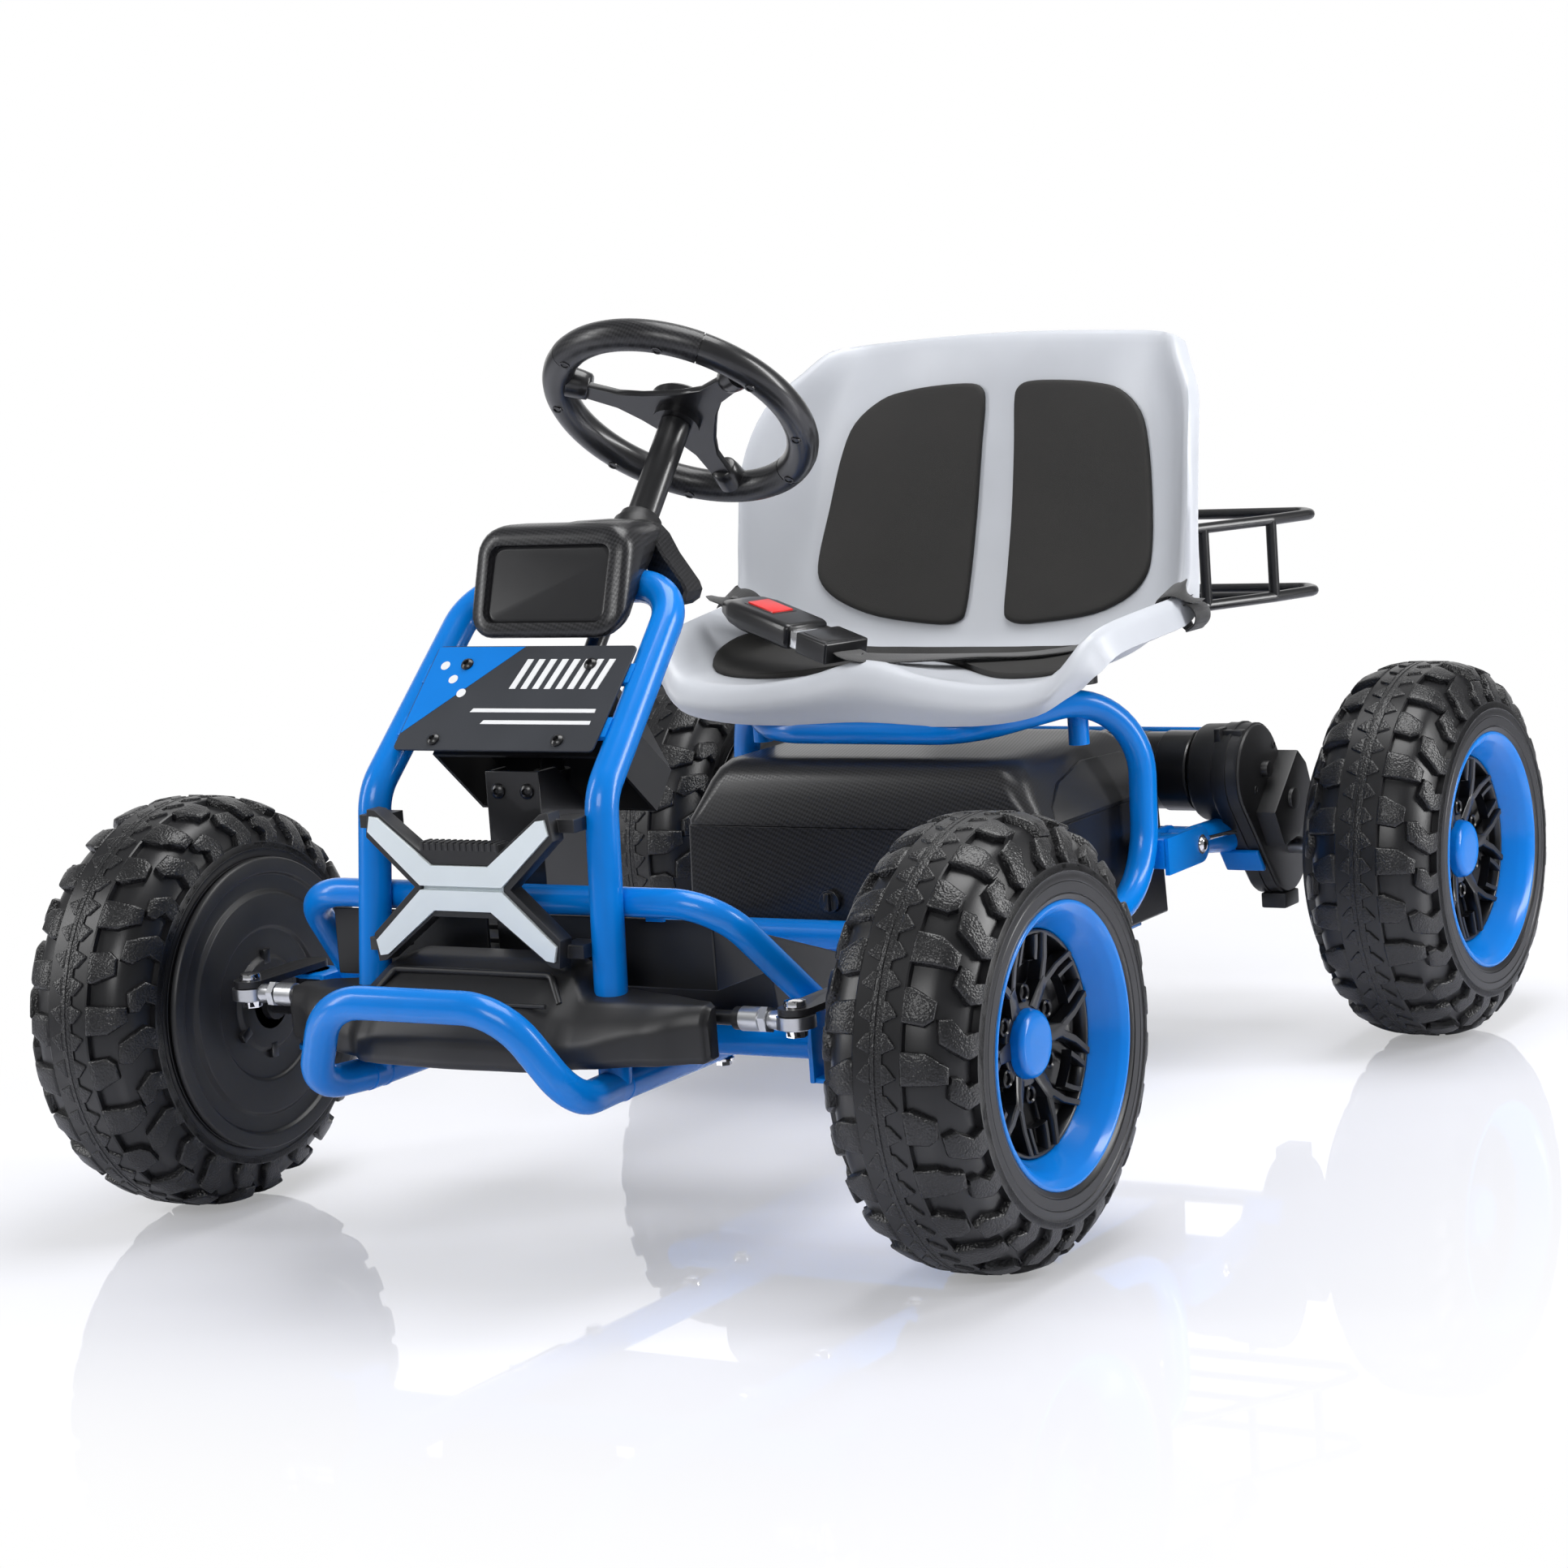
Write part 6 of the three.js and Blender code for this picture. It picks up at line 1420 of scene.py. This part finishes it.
def belt():
    buckle()
    up = AXES[2]
    left = wing_wrap(1)
    left += [
        (on_seat(5.25, 2.8, 8.5), up), (on_seat(4.8, 2.2, 8.5), up), (on_seat(4.3, 1.6, 9), up),
        (on_seat(3.95, 0.9, 10), up), (in_buckle(72, 3, 1), BUCKLE_AXES[2]),
        (in_buckle(48.5, 0, 0), BUCKLE_AXES[2]),
    ]
    strap_piece("strap_left", left, "belt_strap_left")
    right = wing_wrap(-1) + [
        (on_seat(5.1, -3.1, 12), up), (in_buckle(-104, 0, 1), BUCKLE_AXES[2]),
        (in_buckle(-88.8, 0, 0), BUCKLE_AXES[2]),
    ]
    strap_piece("strap_right", right, "belt_strap_right")


# Rack and drive

def back_y(z):
    """The seat back's y at a height, along its middle rows."""
    rows = [row[1] for row in SEAT_ROWS[6:11]]
    for low, high in zip(rows, rows[1:]):
        if z <= high[2]:
            return low[1] + (z - low[2]) / (high[2] - low[2]) * (high[1] - low[1])
    return rows[-1][1]


def cargo_rack():
    bm = bmesh.new()
    rim = [(96, 752), (147, 846), (184, 913), (203, 962), (185, 984)]
    for z in (448, 377):
        side = [place(96, back_y(z) + 8, z)] + [place(x, y, z) for x, y in rim]
        points = side + mirror_points(reversed(side))
        sweep(bm, points, 5, 14, 14)
    for s in (-1, 1):
        for x, y in ((147, 846), (184, 913)):
            sweep(bm, [place(s * x, y, 377), place(s * x, y, 448)], 5, 0, 14)
        for z in (448, 377):
            cylinder(bm, place(s * 96, back_y(z) + 6.2, z), (0, 1, 0), 9, 4, 20)
    for y in (800, 860, 920):
        for (x0, y0), (x1, y1) in zip(rim, rim[1:]):
            if y0 <= y <= y1:
                x = x0 + (y - y0) / (y1 - y0) * (x1 - x0)
                sweep(bm, [place(-x, y, 377), place(x, y, 377)], 4, 0, 12)
    piece("rack_tubes", bm, BLACK_PAINT, 50, node="cargo_rack")


MOTOR_AXIS = (747, 240)
WHEEL_AXIS = (803, 163)
CASE_WAY = Vector((0, WHEEL_AXIS[0] - MOTOR_AXIS[0], WHEEL_AXIS[1] - MOTOR_AXIS[1])).normalized()
CASE_FRONT = Vector((0, CASE_WAY.z, -CASE_WAY.y))
LOBE_STEPS = 18


def case_outline(upper, lower):
    """Two round lobes round the motor's and the wheel's axis, joined by straight sides, as (y, z) pairs."""
    start = math.atan2(CASE_FRONT.z, CASE_FRONT.y)
    outline = []
    for (y, z), radius, first in ((WHEEL_AXIS, lower, start), (MOTOR_AXIS, upper, start + pi)):
        for k in range(LOBE_STEPS + 1):
            angle = first + pi * k / LOBE_STEPS
            outline.append((y + radius * cos(angle), z + radius * sin(angle)))
    return outline


def case_layers(bm, side, layers):
    """A case built from outlines at rising x: (x, upper lobe radius, lower lobe radius) in millimetres."""
    rows = [[place(side * x, y, z) for y, z in case_outline(upper, lower)] for x, upper, lower in layers]
    loft(bm, rows)


def rounded_slab(bm, side, low, high, outline, bevel):
    part = bmesh.new()
    slab(part, side * low, side * high, outline)
    join(part)
    bmesh.ops.bevel(part, geom=part.edges[:], offset=bevel * MM, segments=2, affect="EDGES", profile=0.6)
    copy_into(bm, part)


def gearbox(side, name):
    """A round drum at the motor, a two-lobed case with seam ribs, and a slanted cover with its bosses."""
    out = Vector((side, 0, 0))
    case = bmesh.new()
    drum = [(0, 0), (0, 39.5), (1.5, 41.5), (4, 43), (30, 43.5), (30, 0)]
    disc_stack(case, place(side * 183.5, *MOTOR_AXIS), out, drum, 56)
    case_layers(case, side, [
        (206, 41, 36), (208, 43.5, 39.5), (210, 44.5, 41), (220, 44.5, 41), (220.4, 45.6, 42.1),
        (222.6, 45.6, 42.1), (223, 44.3, 41), (231, 43.6, 40.5), (231.3, 44.4, 41.3), (233.2, 44.4, 41.3),
        (233.6, 43.2, 40), (235.4, 42.4, 39), (236.2, 40.5, 37),
    ])
    cover = [(790, 254), (735, 206), (753, 173), (784, 178), (822, 205), (807, 240)]
    rounded_slab(case, side, 232, 254.5, cover, 1.6)
    for y, z, x, radius in ((755.7, 241.8, 242.5, 7.2), (773, 213, 258, 9.8)):
        boss = [(-8, radius), (-1.2, radius), (-0.3, radius - 0.4), (0, radius - 1.4), (0, 0)]
        disc_stack(case, place(side * x, y, z), out, boss, 30)
    for y, z in ((779, 259.5), (737.4, 226)):
        ring = [(0, 3.4), (0.7, 3.2), (0.7, 2.2), (-0.2, 2), (-0.2, 0)]
        disc_stack(case, place(side * 236, y, z), out, ring, 18)
    block(case, place(side * 220, 728, 274.5), (26, 12, 13), 1.5)
    block(case, place(side * 211, 724, 276), (6, 16, 14), 1.2)
    block(case, place(side * 225, 800, 117), (24, 30, 14), 2)
    piece(
        f"gearbox_case_{name}", case, BLACK, 30, body="rear_suspension",
        node=f"gearbox_{name}",
    )
    hook = bmesh.new()
    at = place(side * 214, *MOTOR_AXIS) + (CASE_FRONT * 45 + CASE_WAY * 66) * MM
    turned_block(hook, at, (out, CASE_WAY * side, CASE_FRONT), (38, 24, 5), 2.4, 3)
    piece(f"clamp_hook_{name}", hook, BLUE, body="rear_suspension")


def motor_can(side, name):
    out = Vector((side, 0, 0))
    can = bmesh.new()
    start = place(side * 84, 740, 242)
    profile = [
        (0, 0), (0, 24), (1.5, 33.5), (3, 36), (13, 36), (14, 34.5),
        (68, 34.5), (69.5, 36), (97.5, 36), (98.7, 34.5), (98.7, 0),
    ]
    disc_stack(can, start, out, profile, 48)
    piece(
        f"motor_can_{name}", can, BLACK_PAINT, 34, body="rear_suspension",
        node=f"motor_{name}",
    )
    band = bmesh.new()
    disc_stack(band, start + out * 18.5 * MM, out, [(0, 34.4), (0.2, 34.8), (30, 34.8), (30.2, 34.4)], 48)
    piece(f"motor_band_{name}", band, PLATE, 34, body="rear_suspension")


def swing_arm():
    """The cross bar, an eye and a tapered arm at each side, and the thin rod over the motors."""
    arm = bmesh.new()
    links_bm = bmesh.new()
    sweep(arm, [place(-196, 702, 186), place(196, 702, 186)], 12, 0, 24)
    sweep(arm, [place(-182, 768, 272), place(182, 768, 272)], 5, 0, 16)
    for side in (-1, 1):
        out = Vector((side, 0, 0))
        sweep(arm, [place(side * 72, 702, 186), place(side * 72, 768, 272)], 5, 0, 16)
        eye = [
            (-12.5, 5.5), (-12.5, 12.8), (-11.5, 13.8), (11.5, 13.8), (12.5, 12.8),
            (12.5, 5.5), (-12.5, 5.5),
        ]
        disc_stack(arm, place(side * PIVOT_X, *PIVOT), out, eye, 32)
        start = place(side * PIVOT_X, 669, 191)
        end = place(side * PIVOT_X, 748, 184)
        reach = (end - start).length / MM
        disc_stack(arm, start, end - start, [(0, 0), (0, 11.2), (6, 12.2), (reach, 16.5), (reach, 0)], 32)
        cylinder(links_bm, place(side * 217, 674, 193), (0, 62, -4), 2.2, 62, 14)
    piece("swing_arm_tubes", arm, BLUE, angle=40, body="rear_suspension", node="swing_arm")
    piece("swing_arm_rods", links_bm, CHROME, 40, body="rear_suspension")


def front_beam():
    """The axle's tube with a small bracket of two shelves at each kingpin."""
    beam = bmesh.new()
    sweep(beam, [place(-221, 0, 157), place(221, 0, 157)], 12, 0, 24)
    for side in (-1, 1):
        block(beam, place(side * 222, 0, 162.5), (4, 40, 62.5), 1.2)
        for z in (133, 192):
            block(beam, place(side * 234, 0, z), (26, 36, 4), 1.2)
            shelf = [(-2, 6.6), (-2, 14.5), (-1.2, 15), (1.2, 15), (2, 14.5), (2, 6.6), (-2, 6.6)]
            disc_stack(beam, place(side * KINGPIN_X, 0, z), (0, 0, 1), shelf, 32)
    piece("front_beam_tube", beam, BLUE, angle=40, node="front_axle_beam")


def drive():
    for side, name in SIDES:
        gearbox(side, name)
        motor_can(side, name)
    swing_arm()
    dressed("rear_axle", STEEL, 0.6, body="rear_suspension")
    front_beam()


# Stage, lights and camera

# Half the kart's length and width in metres, and how far beyond them the floor turns to plain white
KART_HALF = {"X": 0.43, "Y": 0.60}
FADE_REACH = 0.52
FADE_START = 0.30
# The white studio wall behind the kart that the floor and the paint mirror: its middle and its two angles
WALL_WAY = (-0.52, 0.84, 0.12)
WALL_EDGE, WALL_FULL = radians(40), radians(28)
FLOOR_HALF = 30.0
FLOOR_Z = -0.0005


def floor_material():
    """Polished white ground that mirrors the kart, and farther out is plain white for the camera."""
    mat, tree, shader = new_material("studio_floor")
    feed(tree, shader, {"Base Color": (0.86, 0.87, 0.95, 1), "Roughness": 0.02, "Specular IOR Level": 0.9})
    where = add_node(tree, "NewGeometry").outputs["Position"]
    parts = add_node(tree, "SeparateXYZ", {"Vector": where})
    beyond = []
    for axis, half in KART_HALF.items():
        away = maths(tree, "SUBTRACT", maths(tree, "ABSOLUTE", parts.outputs[axis]), half)
        beyond.append(maths(tree, "POWER", maths(tree, "MAXIMUM", away, 0.0), 2.0))
    inputs = {
        "Value": maths(tree, "SQRT", maths(tree, "ADD", *beyond)), "From Max": FADE_REACH,
        "To Min": FADE_START,
    }
    fade = add_node(tree, "MapRange", inputs, interpolation_type="SMOOTHSTEP").outputs["Result"]
    camera_ray = add_node(tree, "LightPath").outputs["Is Camera Ray"]
    share = maths(tree, "MULTIPLY", fade, camera_ray)
    white = add_node(tree, "Emission").outputs["Emission"]
    mix = add_node(tree, "MixShader", {"Fac": share, 1: shader.outputs["BSDF"], 2: white})
    feed(tree, tree.nodes["Material Output"], {"Surface": mix.outputs["Shader"]})
    return mat


def stage():
    corners = [(-1, -1), (1, -1), (1, 1), (-1, 1)]
    mesh = bpy.data.meshes.new("floor")
    mesh.from_pydata([(x * FLOOR_HALF, y * FLOOR_HALF, FLOOR_Z) for x, y in corners], [], [(0, 1, 2, 3)])
    floor = bpy.data.objects.new("floor", mesh)
    bpy.context.scene.collection.objects.link(floor)
    mesh.materials.append(floor_material())
    world = bpy.data.worlds.new("studio")
    bpy.context.scene.world = world
    world.use_nodes = True
    tree = world.node_tree
    soft = tree.nodes["Background"]
    feed(tree, soft, {"Color": (0.93, 0.94, 0.96, 1), "Strength": 0.30})
    white = add_node(tree, "Background", {"Color": (1, 1, 1, 1), "Strength": 1.0})
    path = add_node(tree, "LightPath")
    near_wall = dot(tree, add_node(tree, "TexCoord").outputs["Generated"], WALL_WAY)
    inputs = {"Value": near_wall, "From Min": cos(WALL_EDGE), "From Max": cos(WALL_FULL)}
    wall = add_node(tree, "MapRange", inputs).outputs["Result"]
    mirrored = maths(tree, "MULTIPLY", wall, path.outputs["Is Glossy Ray"])
    seen = maths(tree, "MAXIMUM", path.outputs["Is Camera Ray"], mirrored)
    mix = add_node(
        tree, "MixShader", {"Fac": seen, 1: soft.outputs["Background"], 2: white.outputs["Background"]},
    )
    feed(tree, tree.nodes["World Output"], {"Surface": mix.outputs["Shader"]})


LAMP_TARGET = Vector((0, 0, 0.3))


def lamp(name, at, size, power):
    light = bpy.data.lights.new(name, "AREA")
    light.shape = "RECTANGLE"
    light.size, light.size_y = size
    light.energy = power
    obj = bpy.data.objects.new(name, light)
    bpy.context.scene.collection.objects.link(obj)
    obj.location = at
    obj.rotation_euler = (LAMP_TARGET - Vector(at)).to_track_quat("-Z", "Y").to_euler()


def lights():
    lamp("top_softbox", (0.3, 0.2, 2.6), (1.8, 1.4), 48)
    lamp("left_strip", (-2.4, -1.8, 1.5), (0.5, 2.2), 34)
    lamp("right_strip", (2.7, 0.8, 1.4), (0.6, 2.2), 62)
    lamp("front_fill", (0.6, -3.2, 1.8), (1.4, 1.0), 33)


# The camera solved from the wheels' circles: focal length and picture width in pixels, its place, and its
# forward and right directions
FOCAL_PIXELS, PICTURE_PIXELS = 4892.97, 1932
SENSOR_WIDTH = 36
CAMERA_AT = place(1706.9, -2428.7, 759.1)
CAMERA_FORWARD = Vector((-0.5209, 0.8417, -0.1422)).normalized()
CAMERA_RIGHT = Vector((0.8535, 0.5162, -0.0709)).normalized()


def camera():
    data = bpy.data.cameras.new("camera")
    data.sensor_width = SENSOR_WIDTH
    data.lens = FOCAL_PIXELS * SENSOR_WIDTH / PICTURE_PIXELS
    data.clip_end = 100
    obj = bpy.data.objects.new("camera", data)
    bpy.context.scene.collection.objects.link(obj)
    up = CAMERA_RIGHT.cross(CAMERA_FORWARD).normalized()
    right = CAMERA_FORWARD.cross(up).normalized()
    turn = Matrix([[right[i], up[i], -CAMERA_FORWARD[i]] for i in range(3)]).to_4x4()
    obj.matrix_world = Matrix.Translation(CAMERA_AT) @ turn
    bpy.context.scene.camera = obj


camera()
lights()
stage()
frame_tubes()
frame_plates()
frame_bolts()
wheels()
steering()
dash()
number_plate()
front_covers()
battery()
seat()
belt()
cargo_rack()
drive()
bpy.context.scene.view_settings.view_transform = "Standard"
